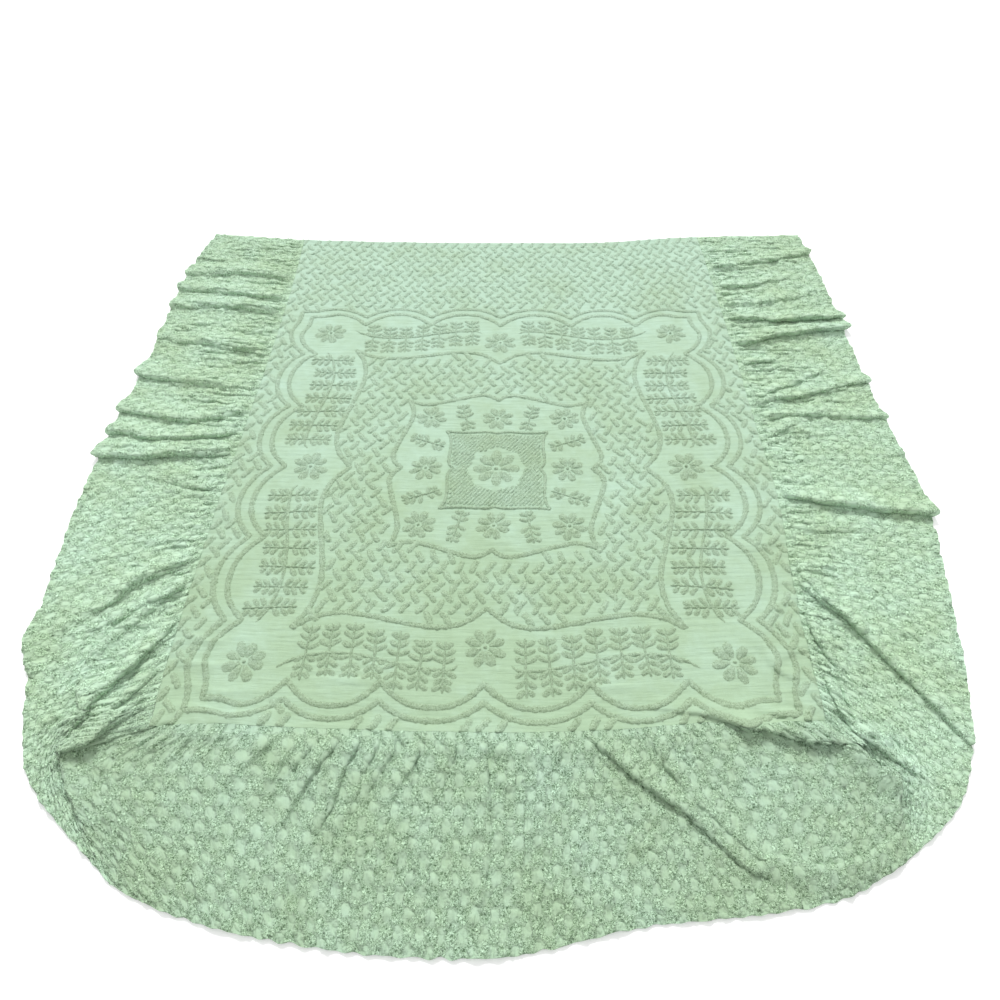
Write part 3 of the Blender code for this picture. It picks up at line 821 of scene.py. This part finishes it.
class Shading:
    """A material's nodes, with the few kinds of link that the cloth and the pile share."""

    def __init__(self, name):
        self.material = bpy.data.materials.new(name)
        self.material.use_nodes = True
        self.nodes = self.material.node_tree.nodes
        self.links = self.material.node_tree.links
        self.shader = self.nodes["Principled BSDF"]
        self.where = self.nodes.new("ShaderNodeTexCoord").outputs["Object"]

    def stretched(self, source, scale):
        node = self.nodes.new("ShaderNodeMapping")
        node.inputs["Scale"].default_value = scale
        self.links.new(source, node.inputs["Vector"])
        return node.outputs["Vector"]

    def noise(self, source, scale, detail, roughness=0.6, distortion=0.0):
        node = self.nodes.new("ShaderNodeTexNoise")
        node.inputs["Distortion"].default_value = distortion
        node.inputs["Scale"].default_value = scale
        node.inputs["Detail"].default_value = detail
        node.inputs["Roughness"].default_value = roughness
        self.links.new(source, node.inputs["Vector"])
        return node.outputs["Fac"]

    def ramp(self, source, stops):
        node = self.nodes.new("ShaderNodeValToRGB")
        elements = node.color_ramp.elements
        elements[0].position = stops[0][0]
        elements[0].color = (*stops[0][1], 1.0)
        elements[1].position = stops[-1][0]
        elements[1].color = (*stops[-1][1], 1.0)
        for position, colour in stops[1:-1]:
            elements.new(position).color = (*colour, 1.0)
        self.links.new(source, node.inputs["Fac"])
        return node.outputs["Color"]

    def multiplied(self, first, second):
        node = self.nodes.new("ShaderNodeMix")
        node.data_type = "RGBA"
        node.blend_type = "MULTIPLY"
        node.inputs["Factor"].default_value = 1.0
        self.links.new(first, node.inputs["A"])
        self.links.new(second, node.inputs["B"])
        return node.outputs["Result"]

    def math(self, operation, first, *others):
        """A Math node. Each of others is a socket or a number."""
        node = self.nodes.new("ShaderNodeMath")
        node.operation = operation
        self.links.new(first, node.inputs[0])
        for socket, value in zip(node.inputs[1:], others):
            if isinstance(value, float):
                socket.default_value = value
            else:
                self.links.new(value, socket)
        return node.outputs["Value"]

    def mixed(self, share, first, second):
        node = self.nodes.new("ShaderNodeMix")
        node.data_type = "RGBA"
        self.links.new(share, node.inputs["Factor"])
        self.links.new(first, node.inputs["A"])
        self.links.new(second, node.inputs["B"])
        return node.outputs["Result"]

    def bump(self, source, distance, strength, under=None):
        node = self.nodes.new("ShaderNodeBump")
        node.inputs["Distance"].default_value = distance
        node.inputs["Strength"].default_value = strength
        self.links.new(source, node.inputs["Height"])
        if under is not None:
            self.links.new(under, node.inputs["Normal"])
        return node.outputs["Normal"]

    def dyed(self, dye):
        """Sage, cast towards mint in random patches, and more towards the head end: partly the
        dye's own uneven cast, partly painted light, lighter towards the head and darker towards the
        foot.
        """
        split = self.nodes.new("ShaderNodeSeparateXYZ")
        self.links.new(self.where, split.inputs["Vector"])
        # painted light: the colour runs lighter and mintier towards the head end, as if the light
        # fell off towards the foot
        cast_and_head_light = self.nodes.new("ShaderNodeMapRange")
        cast_and_head_light.inputs["From Min"].default_value = -1.4
        cast_and_head_light.inputs["From Max"].default_value = 1.3
        cast_and_head_light.inputs["To Min"].default_value = dye.cast - dye.head_cast
        cast_and_head_light.inputs["To Max"].default_value = dye.cast + dye.head_cast
        self.links.new(split.outputs["Y"], cast_and_head_light.inputs["Value"])
        patches = self.math("MULTIPLY_ADD", self.noise(self.where, 3.4, 5.0, 0.7), 1.5, -0.25)
        cast = self.math("ADD", patches, cast_and_head_light.outputs["Result"])
        sage = tuple(channel * dye.depth for channel in SAGE)
        mint = tuple(channel * dye.depth for channel in MINT)
        return self.ramp(cast, [(0.30, sage), (0.84, mint)])

    def creases(self, gathered):
        """Fine creases: out from the seam on gathered cloth, across the panel elsewhere."""
        flat = self.nodes.new("ShaderNodeUVMap")
        flat.uv_map = "flat"
        scale = (70.0, 9.0, 1.0) if gathered else (9.0, 70.0, 1.0)
        wave = self.noise(self.stretched(flat.outputs["UV"], scale), 1.0, 3.0, 0.55)
        return self.bump(wave, 0.0120 if gathered else 0.0060, 0.7 if gathered else 0.6)

    def shaded_curls(self, stops, scale):
        """The loops of the chenille: a height, and a tone with painted highlights on their tips and
        painted shade in their gaps.
        """
        height = self.noise(self.where, scale, 3.0, 0.72, 1.1)
        return height, self.ramp(height, stops)

    def tufted_share(self):
        """1 where a skirt is tufted, and 0 in the small smooth diamonds between its bars."""
        flat = self.nodes.new("ShaderNodeUVMap")
        flat.uv_map = "flat"
        split = self.nodes.new("ShaderNodeSeparateXYZ")
        self.links.new(flat.outputs["UV"], split.inputs["Vector"])
        turn = 2.0 * math.pi / BAR_PITCH
        across = self.math("MULTIPLY_ADD", split.outputs["X"], turn, -1.5 * math.pi)
        across = self.math("MULTIPLY_ADD", self.noise(self.where, 13.0, 2.0), 3.0, across)
        turn = math.pi / ROW_PITCH
        down = self.math("MULTIPLY_ADD", split.outputs["Y"], turn, -0.5 * math.pi)
        down = self.math("MULTIPLY_ADD", self.noise(self.where, 17.0, 2.0), 2.2, down)
        chequer = self.math("MULTIPLY", self.math("COSINE", across), self.math("COSINE", down))
        ragged = self.math("MULTIPLY_ADD", self.noise(self.where, 105.0, 3.0, 0.7), 2.4, -1.12)
        return self.ramp(
            self.math("ADD", chequer, ragged), [(0.10, (1.0, 1.0, 1.0)), (0.50, (0.0, 0.0, 0.0))]
        )

    def finish(self, sheen, roughness):
        self.shader.inputs["Roughness"].default_value = roughness
        self.shader.inputs["Sheen Weight"].default_value = sheen
        self.shader.inputs["Sheen Roughness"].default_value = 0.55
        self.shader.inputs["Specular IOR Level"].default_value = 0.12
        return self.material


def ground_material(name, dye, gathered):
    """Cotton ground with fine ribs and slubs. Gathered cloth is tufted between smooth diamonds."""
    shading = Shading(name)
    fuzz = shading.noise(shading.where, 430.0, 4.0)
    mottle = shading.noise(shading.where, 22.0, 4.0, 0.65)
    grain = shading.ramp(fuzz, [(0.25, (0.88, 0.90, 0.87)), (0.70, (1.0, 1.0, 1.0))])
    patches = shading.ramp(mottle, [(0.30, (0.95, 0.95, 0.93)), (0.68, (1.03, 1.03, 1.04))])
    dyed = shading.dyed(dye)
    colour = shading.multiplied(shading.multiplied(dyed, grain), patches)
    ribs = shading.nodes.new("ShaderNodeTexWave")
    ribs.bands_direction = "Y"
    ribs.inputs["Scale"].default_value = 95.0
    ribs.inputs["Distortion"].default_value = 2.5
    ribs.inputs["Detail"].default_value = 2.0
    shading.links.new(shading.where, ribs.inputs["Vector"])
    normal = shading.bump(ribs.outputs["Fac"], 0.0006, 0.35, shading.creases(gathered))
    normal = shading.bump(fuzz, 0.0010, 0.5, normal)
    if gathered:
        # the tufting's tone is painted shade in the gaps and painted highlights on the tips of its
        # loops
        height, tone = shading.shaded_curls(DEEP_CURL_SHADING, 215.0)
        tufted = shading.tufted_share()
        colour = shading.mixed(tufted, colour, shading.multiplied(dyed, tone))
        normal = shading.bump(shading.math("MULTIPLY", height, tufted), 0.0044, 0.9, normal)
    shading.links.new(colour, shading.shader.inputs["Base Color"])
    shading.links.new(normal, shading.shader.inputs["Normal"])
    return shading.finish(0.14, 0.93)


def pile_material(name, dye):
    """Chenille pile: curls with painted shade in their gaps and painted highlights on their tips.
    """
    shading = Shading(name)
    # the pile's tone is painted shade in the gaps and painted highlights on the tips of its loops
    height, tone = shading.shaded_curls(SOFT_CURL_SHADING, 215.0)
    colour = shading.multiplied(shading.dyed(dye), tone)
    shading.links.new(colour, shading.shader.inputs["Base Color"])
    normal = shading.bump(height, 0.0044, 0.9, shading.creases(False))
    shading.links.new(normal, shading.shader.inputs["Normal"])
    return shading.finish(0.18, 0.96)


panel_ground = ground_material("panel ground", PANEL_DYE, False)
side_cloth = ground_material("side skirt", SIDE_DYE_PAINTED_LIGHTER, True)
foot_cloth = ground_material("foot skirt", FOOT_DYE, True)
weave_pile = pile_material("weave pile", WEAVE_DYE)
motif_pile = pile_material("motif pile", MOTIF_DYE)

# ---------------------------------------------------------------- sheets


def from_seam_to_hem(length, step):
    """Shares from a seam to a hem, an odd count of them, and the cloth's thickness at each."""
    hem = HEM_WIDTH / length
    shares = np.linspace(SEAM_GAP / length, 1.0 - hem, 2 * round(length / step / 2.0))
    shares = np.append(shares, 1.0)
    extra = HEM_EXTRA * smoothstep(1.0 - 1.6 * hem, 1.0 - hem, shares)
    return shares, (CLOTH_THICKNESS + extra)[None, :]


def between_edges(length, step):
    """An odd count of shares, with half a seam's gap at each end."""
    margin = SEAM_GAP / length
    return np.linspace(margin, 1.0 - margin, 2 * round(length / step / 2.0) + 1)


def cloth_sheet(name, cloth, length, depth, steps, material, node):
    v, thickness = from_seam_to_hem(depth, steps[1])
    piece = sheet(name, cloth, between_edges(length, steps[0]), v, thickness, material)
    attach(piece, "root")
    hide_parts(node)
    return piece


def skirt_sheet(node, skirt, material):
    steps = (SKIRT_STEP, DROP_STEP)
    return cloth_sheet(
        "cloth_" + node, skirt.cloth, skirt.length, DROP, steps, material, node
    )


panel_piece = cloth_sheet(
    "cloth_panel", panel, PANEL_WIDTH, PANEL_LENGTH, PANEL_STEP,
    panel_ground, "panel",
)
left_piece = skirt_sheet("skirt_left", left, side_cloth)
foot_piece = skirt_sheet("skirt_foot", foot, foot_cloth)
right_piece = skirt_sheet("skirt_right", right, side_cloth)

# ---------------------------------------------------------------- chenille bars


Bar = namedtuple("Bar", "length width height stations across")

HEM_TUFT = Bar(0.022, 0.0150, 0.0040, 6, 4)
SKIRT_BAR = Bar(0.059, 0.0300, 0.0034, 12, 6)
WEAVE_BAR = Bar(0.060, 0.0232, 0.0046, 11, 5)
HEM_TUFT_PITCH = 0.012


def bar_strips(pile, middles, slants, bar, scale):
    """Slanting bars. scale turns a metre along u and v into shares at each middle."""
    length, width, height, stations, across = bar
    count = len(middles)
    reach = np.linspace(-0.5, 0.5, stations)[None, :] * length
    reach = reach * rng.uniform(0.90, 1.12, (count, 1))
    angle = slants * BAR_SLANT + rng.normal(0.0, 0.09, count)
    direction = np.stack([np.cos(angle), np.sin(angle)], axis=1)
    normal = np.stack([-direction[:, 1], direction[:, 0]], axis=1)
    jitter = rng.normal(0.0, 0.0016, (count, 2))
    bow = rng.normal(0.0, 0.0025, (count, 1)) * (1.0 - (2.0 * reach / length) ** 2)
    offset = direction[:, None, :] * reach[..., None] + normal[:, None, :] * bow[..., None]
    centre = middles[:, None, :] + (offset + jitter[:, None, :]) * scale[:, None, :]
    side = np.broadcast_to((normal * scale)[:, None, :], centre.shape)
    ends = np.linspace(-1.0, 1.0, stations)
    taper = np.sqrt(np.maximum(1.0 - np.abs(ends) ** 5, 0.0))[None, :]
    taper[:, 0] = taper[:, -1] = 0.0
    swell = rng.uniform(0.88, 1.12, (count, stations))
    pile.add(centre, side, width * np.maximum(taper, 0.45) * swell, height * taper, across)


def hem_tufts(pile, skirt):
    """Short tufts across the hem, which leave a ragged edge."""
    length = skirt.hem_distance[-1]
    places = np.arange(0.015, length - 0.015, HEM_TUFT_PITCH)
    places = places + rng.uniform(-0.009, 0.009, len(places))
    u = np.interp(places, skirt.hem_distance, skirt.along) / skirt.length
    middles = np.stack([u, 1.0 - rng.uniform(0.006, 0.016, len(u)) / DROP], axis=1)
    metric = skirt.cloth.read(skirt.cloth.metric, u, middles[:, 1])
    slants = rng.uniform(0.7, 1.9, len(u))
    bar_strips(pile, middles, slants, HEM_TUFT, 1.0 / metric)


def skirt_bars(name, skirt, material):
    pile = Pile(skirt.cloth, 0.55)
    middles, slants = skirt.bars()
    metric = skirt.cloth.read(skirt.cloth.metric, middles[:, 0], middles[:, 1])
    bar_strips(pile, middles, slants, SKIRT_BAR, 1.0 / metric)
    hem_tufts(pile, skirt)
    piece = pile.build(name, material)
    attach(piece, "root")
    return piece


left_bars = skirt_bars("pile_skirt_left", left, side_cloth)
foot_bars = skirt_bars("pile_skirt_foot", foot, foot_cloth)
right_bars = skirt_bars("pile_skirt_right", right, side_cloth)

# ---------------------------------------------------------------- the panel's tufted design


def frame_outline(side_y, side_x):
    """Closed outline of a frame that is mirrored in both axes.

    side_y runs from the +X +Y corner to the middle of the +Y side as (x, y) points, and side_x from
    the same corner to the middle of the +X side.
    """
    top = np.array(side_y)
    edge = np.array(side_x)[::-1]
    quarter = np.concatenate([edge, top[1:]])
    flip_x = np.array([-1.0, 1.0])
    flip_y = np.array([1.0, -1.0])
    half = np.concatenate([quarter, (quarter * flip_x)[::-1][1:]])
    return np.concatenate([half, (half * flip_y)[::-1][1:-1]])


OUTLINE_STEP = 0.006


def smooth_run(points, step=0.004):
    """Points about step apart along the smooth curve through points."""
    points = np.asarray(points, float)
    along = distances(points)
    places = np.linspace(0.0, along[-1], max(round(along[-1] / step), 4))
    return curve_through(along, points, places)


def scalloped_side(corner, cusps, low, high):
    """Half a scalloped side from its corner to its middle cusp, along +Y.

    cusps are the places of the cusps across the side, low is how far out they are, and high is how
    far out the scallops between them reach.
    """
    depth = high - low
    width = corner[0] - cusps[0]
    runs = [smooth_run([
        corner,
        (corner[0] - 0.22 * width, corner[1] + 0.15 * (high - corner[1])),
        (corner[0] - 0.50 * width, high),
        (corner[0] - 0.78 * width, low + 0.68 * depth),
        (cusps[0], low),
    ], OUTLINE_STEP)]
    share = np.linspace(-1.0, 1.0, 48)
    for start, end in zip(cusps, cusps[1:]):
        x = (start + end) / 2.0 + share * (end - start) / 2.0
        runs.append(np.stack([x, low + depth * (1.0 - np.abs(share) ** 2.3)], axis=1)[1:])
    return np.concatenate(runs)


def swapped(points):
    return np.asarray(points)[:, ::-1]


def scallop_ring(corner, lows, highs):
    top = scalloped_side(corner, (0.590, 0.307, 0.0), lows[1], highs[1])
    side = scalloped_side(corner[::-1], (0.632, 0.316, 0.0), lows[0], highs[0])
    return frame_outline(top, swapped(side))


def ogee_side(corner, dip, crest, cusp, dip_at, crest_at):
    """Half a side that dips beyond its corner, swells, and ends in a middle cusp, along +Y."""
    return smooth_run([
        corner,
        (corner[0] * (1.0 - 0.4 * (1.0 - dip_at)), corner[1] - 0.75 * (corner[1] - dip)),
        (corner[0] * dip_at, dip),
        (corner[0] * crest_at, crest),
        (corner[0] * crest_at * 0.45, cusp + 0.80 * (crest - cusp)),
        (0.0, cusp),
    ], OUTLINE_STEP)


def ogee_ring(corner, dips, crests, cusps, dip_at, crest_at):
    top = ogee_side(corner, dips[1], crests[1], cusps[1], dip_at, crest_at)
    side = ogee_side(corner[::-1], dips[0], crests[0], cusps[0], dip_at, crest_at)
    return frame_outline(top, swapped(side))


OUTER_SCALLOPS = scallop_ring((0.881, 0.925), (0.833, 0.887), (0.908, 0.944))
INNER_SCALLOPS = scallop_ring((0.834, 0.886), (0.778, 0.830), (0.860, 0.905))
OGEE_FRAME = ogee_ring(
    (0.610, 0.660), (0.552, 0.605), (0.611, 0.648), (0.537, 0.580), 0.71, 0.28
)
CENTRE_FRAME = ogee_ring(
    (0.352, 0.352), (0.330, 0.332), (0.384, 0.386), (0.350, 0.359), 0.74, 0.20
)
CENTRE_SQUARE = ogee_ring(
    (0.192, 0.187), (0.172, 0.180), (0.176, 0.183), (0.158, 0.175), 0.60, 0.25
)


def inside(outline, points):
    """Whether each point is inside the closed outline."""
    x, y = points[:, 0][:, None], points[:, 1][:, None]
    start = outline
    end = np.roll(outline, -1, axis=0)
    crosses = (start[:, 1] > y) != (end[:, 1] > y)
    rise = np.where(end[:, 1] == start[:, 1], 1.0, end[:, 1] - start[:, 1])
    at = start[:, 0] + (y - start[:, 1]) / rise * (end[:, 0] - start[:, 0])
    return (crosses & (x < at)).sum(axis=1) % 2 == 1


PANEL_SCALE = np.array([1.0 / PANEL_WIDTH, 1.0 / PANEL_LENGTH])

# A line of tufting: its width and height, its step, and its facets across
Strand = namedtuple("Strand", "width height step across")

BORDER = Strand(0.0205, 0.0037, 0.0050, 6)
SQUARE_EDGE = Strand(0.0125, 0.0042, 0.0042, 6)
SQUARE_ROW = Strand(0.0140, 0.0032, 0.005, 4)
FLOWER_DOT = Strand(0.011, 0.0045, 0.003, 4)
SPINE = Strand(0.0090, 0.0038, 0.007, 4)
VINE = Strand(0.0130, 0.0036, 0.006, 4)

SQUARE_ROW_PITCH = 0.0118
SQUARE_ROW_SLANT = math.radians(52)
DOT_RADIUS = 0.065           # of the flower whose middle dot is a FLOWER_DOT

# A flower's radius and its petals' width
Flower = namedtuple("Flower", "radius petal")

MEDALLION = Flower(0.088, 0.0395)
CENTRE_FLOWER = Flower(0.062, 0.0300)
BAND_FLOWER = Flower(0.069, 0.0335)
PETALS = 8
PETAL_HEIGHT = 0.0042
LEAF_WIDTHS = (0.0185, 0.0215)
LEAF_HEIGHT = 0.0041

# How far the cloth carries the design from the panel's middle, at its corners, the middles of its
# sides and its own middle: rows from the foot to the head, each from left to right
DESIGN_REACH = (0.834, 0.886)
DESIGN_SHIFT = np.array((
    ((0.001, -0.254), (-0.014, -0.243), (0.010, -0.271)),
    ((0.010, -0.237), (-0.014, -0.226), (-0.013, -0.249)),
    ((-0.003, -0.255), (-0.010, -0.239), (-0.018, -0.269)),
))


def laid_out(points):
    """Where points of the design, measured from the medallion's middle, lie on the flat panel."""
    points = np.asarray(points, float)

    def weights(share):
        share = np.clip(share, -1.15, 1.15)
        low, high = share * (share - 1.0) / 2.0, share * (share + 1.0) / 2.0
        return np.stack([low, 1.0 - share ** 2, high], axis=-1)

    across = weights(points[..., 0] / DESIGN_REACH[0])
    up = weights(points[..., 1] / DESIGN_REACH[1])
    return points + np.einsum("...i,...j,jik->...k", across, up, DESIGN_SHIFT)


def panel_shares(points):
    """Shares on the panel of points of the design."""
    return laid_out(points) * PANEL_SCALE + 0.5


def resampled(points, step, closed=False):
    points = np.asarray(points, float)
    if closed:
        points = np.concatenate([points, points[:1]])
    along = distances(points)
    places = np.linspace(0.0, along[-1], max(round(along[-1] / step), 3) + 1)
    return np.stack([np.interp(places, along, points[:, axis]) for axis in (0, 1)], axis=1)


def tufted_line(pile, points, strand, closed=False):
    """One line of tufting along points, which are measured from the medallion's middle."""
    line = resampled(points, strand.step, closed)
    if closed:
        heading = np.roll(line[:-1], -1, axis=0) - np.roll(line[:-1], 1, axis=0)
        heading = np.concatenate([heading, heading[:1]])
    else:
        heading = np.gradient(line, axis=0)
    heading /= np.linalg.norm(heading, axis=1, keepdims=True)
    normal = np.stack([-heading[:, 1], heading[:, 0]], axis=1)
    count = len(line)
    wave = 1.0 + 0.10 * rng.normal(0.0, 1.0, count)
    ends = np.ones(count)
    if not closed:
        ends = np.sqrt(np.clip(1.0 - np.abs(np.linspace(-1, 1, count)) ** 12, 0.0, 1.0))
    pile.add(
        panel_shares(line)[None, :, :],
        (normal * PANEL_SCALE)[None, :, :],
        (strand.width * np.maximum(ends, 0.4) * wave)[None, :],
        (strand.height * ends * wave)[None, :],
        strand.across,
    )


def petals(pile, centre, flower, turn=0.0):
    """A flower: teardrop pads of tufting round a small middle."""
    radius, width = flower
    centre = np.asarray(centre, float)
    inner = 0.17 * radius
    stations = round((radius - inner) / 0.0048)
    share = np.linspace(0.0, 1.0, stations)
    blade = 0.34 + 0.66 * smoothstep(0.0, 0.55, share)
    tip = np.sqrt(np.clip(1.0 - (np.maximum(share - 0.62, 0.0) / 0.40) ** 2, 0.0, 1.0))
    rise = np.sqrt(np.sin(math.pi * np.clip(share, 0.0, 1.0)).clip(0.0))
    for index in range(PETALS):
        angle = turn + 2.0 * math.pi * index / PETALS + rng.normal(0.0, 0.05)
        reach = inner + (radius - inner) * rng.uniform(0.90, 1.06)
        direction = np.array([math.cos(angle), math.sin(angle)])
        line = centre + direction * (inner + share * (reach - inner))[:, None]
        normal = np.array([-direction[1], direction[0]])
        pile.add(
            panel_shares(line)[None, :, :],
            np.broadcast_to(normal * PANEL_SCALE, line.shape)[None, :, :],
            (width * rng.uniform(0.88, 1.10) * blade * tip)[None, :],
            (PETAL_HEIGHT * rise)[None, :],
            6,
        )
    dot = np.array([[-0.006, 0.0], [0.006, 0.0]]) * (radius / DOT_RADIUS)
    strand = FLOWER_DOT._replace(width=FLOWER_DOT.width * radius / DOT_RADIUS)
    tufted_line(pile, centre + dot, strand)


def leaflet(pile, root, tip, width):
    """One small leaf: a short strip, widest past its middle."""
    stations = 6
    share = np.linspace(0.0, 1.0, stations)
    line = root + (tip - root) * share[:, None]
    direction = (tip - root) / np.linalg.norm(tip - root)
    normal = np.array([-direction[1], direction[0]])
    profile = np.array((0.55, 0.85, 1.0, 1.05, 0.95, 0.55))
    rise = np.array((0.5, 0.9, 1.0, 1.0, 0.85, 0.0))
    pile.add(
        panel_shares(line)[None, :, :],
        np.broadcast_to(normal * PANEL_SCALE, line.shape)[None, :, :],
        (width * profile)[None, :],
        (LEAF_HEIGHT * rise)[None, :],
        4,
    )


def frond(pile, centre, direction, length, pairs, leaf):
    """A fern frond: a spine with pairs of leaflets that slant towards its two tips."""
    centre = np.asarray(centre, float)
    direction = np.asarray(direction, float) / np.linalg.norm(direction)
    normal = np.array([-direction[1], direction[0]])
    half = length / 2.0
    spine = [centre - direction * (half - leaf / 2.0), centre + direction * (half - leaf / 2.0)]
    tufted_line(pile, spine, SPINE)
    for tip in (-1.0, 1.0):
        root = centre + direction * tip * (half - 0.8 * leaf)
        leaflet(pile, root, centre + direction * tip * half, 0.010)
    for pair in range(pairs):
        share = (pair + 0.5) / pairs * 2.0 - 1.0
        root = centre + direction * (share * (half - 0.35 * leaf))
        heading = math.copysign(1.0, share) * (0.50 + 0.20 * abs(share))
        size = leaf * (1.0 - 0.22 * abs(share))
        for side in (-1.0, 1.0):
            reach = size * rng.uniform(0.88, 1.10)
            lift = heading + rng.normal(0.0, 0.08)
            step = side * math.cos(lift) * normal + math.sin(lift) * direction
            start = root + 0.003 * side * normal
            leaflet(pile, start, root + reach * step, rng.uniform(*LEAF_WIDTHS))


def weave_bars(pile):
    """The basket pattern of slanting bars, left out of the smooth bands."""
    rows = round(PANEL_LENGTH / ROW_PITCH)
    columns = round(PANEL_WIDTH / BAR_PITCH)
    middles = []
    slants = []
    for row in range(rows):
        shift = 0.25 if row % 2 == 0 else 0.75
        u = (np.arange(columns) + shift) / columns
        middles.append(np.stack([u, np.full(columns, (row + 0.5) / rows)], axis=1))
        slants.append(np.full(columns, 1.0 if row % 2 == 0 else -1.0))
    middles = np.concatenate(middles)
    slants = np.concatenate(slants)
    kept = ~inside(panel_shares(OUTER_SCALLOPS * 1.020), middles)
    field = inside(panel_shares(OGEE_FRAME * 0.968), middles)
    kept |= field & ~inside(panel_shares(CENTRE_FRAME * 1.050), middles)
    shares = middles[kept]
    scale = np.broadcast_to(PANEL_SCALE, shares.shape)
    bar_strips(pile, shares, slants[kept], WEAVE_BAR, scale)


def dense_square(pile):
    """Close slanting rows that fill the middle square around its flower."""
    slope = np.array([math.cos(SQUARE_ROW_SLANT), math.sin(SQUARE_ROW_SLANT)])
    normal = np.array([-slope[1], slope[0]])
    for row in np.arange(-0.30, 0.30, SQUARE_ROW_PITCH):
        along = np.arange(-0.30, 0.30, 0.004)
        line = normal * row + slope * along[:, None]
        radius = np.hypot(line[:, 0], line[:, 1])
        angle = np.arctan2(line[:, 1], line[:, 0])
        hollow = 0.098 + 0.005 * np.cos(8.0 * angle)
        kept = inside(CENTRE_SQUARE * 0.96, line) & (radius > hollow)
        starts = np.flatnonzero(kept & ~np.roll(kept, 1))
        for start in starts:
            end = start
            while end < len(line) - 1 and kept[end + 1]:
                end += 1
            if end - start >= 3:
                tufted_line(pile, line[start:end + 1], SQUARE_ROW)


STEM = (
    (0.634, 0.792), (0.595, 0.768), (0.550, 0.752), (0.472, 0.741), (0.411, 0.744), (0.339, 0.755),
    (0.271, 0.770), (0.197, 0.784), (0.122, 0.791), (0.098, 0.788), (0.078, 0.772),
)


def build_panel_pile():
    weave = Pile(panel)
    weave_bars(weave)
    lines = Pile(panel, 0.22)
    for ring in (OUTER_SCALLOPS, INNER_SCALLOPS, OGEE_FRAME, CENTRE_FRAME):
        tufted_line(lines, ring, BORDER, closed=True)
    tufted_line(lines, CENTRE_SQUARE, SQUARE_EDGE, closed=True)
    square = Pile(panel, 0.55)
    dense_square(square)
    flowers = Pile(panel)
    petals(flowers, (0.0, 0.0), MEDALLION)
    for x in (-0.258, 0.0, 0.258):
        for y in (-0.258, 0.0, 0.258):
            if x or y:
                petals(flowers, (x, y), CENTRE_FLOWER, rng.uniform(0.2, 0.6))
    for side in (-1.0, 1.0):
        for lean in (-1.0, 1.0):
            frond(flowers, (lean * 0.124, side * 0.262), (lean * 0.22, side), 0.145, 5, 0.038)
            frond(flowers, (side * 0.262, lean * 0.130), (side, lean * 0.38), 0.145, 5, 0.038)
    # flowers at the corners and middles of the outer band, with fronds along a wavy stem between
    for sx in (-1.0, 1.0):
        for sy in (-1.0, 1.0):
            mirror = np.array([sx, sy])
            petals(flowers, (sx * 0.735, sy * 0.773), BAND_FLOWER, rng.uniform(0.2, 0.6))
            side_stem = swapped(STEM) - np.array([0.060, -0.010])
            tufted_line(flowers, smooth_run(np.array(STEM) * mirror), VINE)
            tufted_line(flowers, smooth_run(side_stem * mirror), VINE)
            stem = np.array(STEM)[:-2][::-1]
            for index in range(7):
                x = 0.122 + 0.0713 * index
                y = np.interp(x, stem[:, 0], stem[:, 1]) - 0.012
                length = rng.uniform(0.168, 0.196)
                lean = (rng.normal(0.0, 0.03), 1.0)
                frond(flowers, mirror * (x, y), lean, length, 6, 0.044)
                x = 0.136 + 0.0755 * index
                y = np.interp(x, stem[:, 0], stem[:, 1]) - 0.068
                length = rng.uniform(0.176, 0.204)
                frond(flowers, mirror * (y, x), lean[::-1], length, 6, 0.044)
    for sign in (-1.0, 1.0):
        petals(flowers, (0.0, sign * 0.714), BAND_FLOWER, rng.uniform(0.2, 0.6))
        petals(flowers, (sign * 0.684, 0.0), BAND_FLOWER, rng.uniform(0.2, 0.6))
    pieces = [
        weave.build("pile_weave", weave_pile),
        lines.build("pile_lines", motif_pile),
        square.build("pile_square", weave_pile),
        flowers.build("pile_flowers", motif_pile),
    ]
    for piece in pieces:
        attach(piece, "root")
    return pieces


panel_pieces = build_panel_pile()

# ---------------------------------------------------------------- floor, light and camera


def make_floor():
    bpy.ops.mesh.primitive_plane_add(size=30.0, location=(0.0, 0.0, -0.0005))
    floor = bpy.context.object
    floor.name = "floor"
    shading = Shading("floor")
    mottle = shading.noise(shading.where, 3.0, 3.0)
    tone = shading.ramp(mottle, [(0.3, (0.93, 0.93, 0.93)), (0.7, (0.95, 0.95, 0.95))])
    shading.links.new(tone, shading.shader.inputs["Base Color"])
    shading.shader.inputs["Emission Color"].default_value = (1.0, 1.0, 1.0, 1.0)
    shading.shader.inputs["Emission Strength"].default_value = 0.18
    floor.data.materials.append(shading.finish(0.0, 0.9))


def make_light():
    """One broad soft key, from behind the head end and a little to the left."""
    data = bpy.data.lights.new("key", "SUN")
    data.angle = math.radians(14.0)
    data.energy = 2.7
    lamp = bpy.data.objects.new("key", data)
    lamp.rotation_euler = Vector((0.06, -0.92, -0.82)).to_track_quat("-Z", "Y").to_euler()
    bpy.context.scene.collection.objects.link(lamp)


def make_world():
    world = bpy.data.worlds.new("studio")
    world.use_nodes = True
    world.node_tree.nodes["Background"].inputs["Color"].default_value = (1.0, 1.0, 1.0, 1.0)
    world.node_tree.nodes["Background"].inputs["Strength"].default_value = 0.78
    bpy.context.scene.world = world


def make_camera():
    data = bpy.data.cameras.new("camera")
    data.sensor_width = 36.0
    data.lens = 27.29
    camera = bpy.data.objects.new("camera", data)
    camera.location = (0.0235 + shift[0], -1.817 + shift[1], 2.094)
    camera.rotation_euler = (math.radians(90.0 - 51.33), 0.0, math.radians(1.0))
    bpy.context.scene.collection.objects.link(camera)
    bpy.context.scene.camera = camera


make_floor()
make_light()
make_world()
make_camera()
bpy.context.scene.view_settings.view_transform = "Standard"
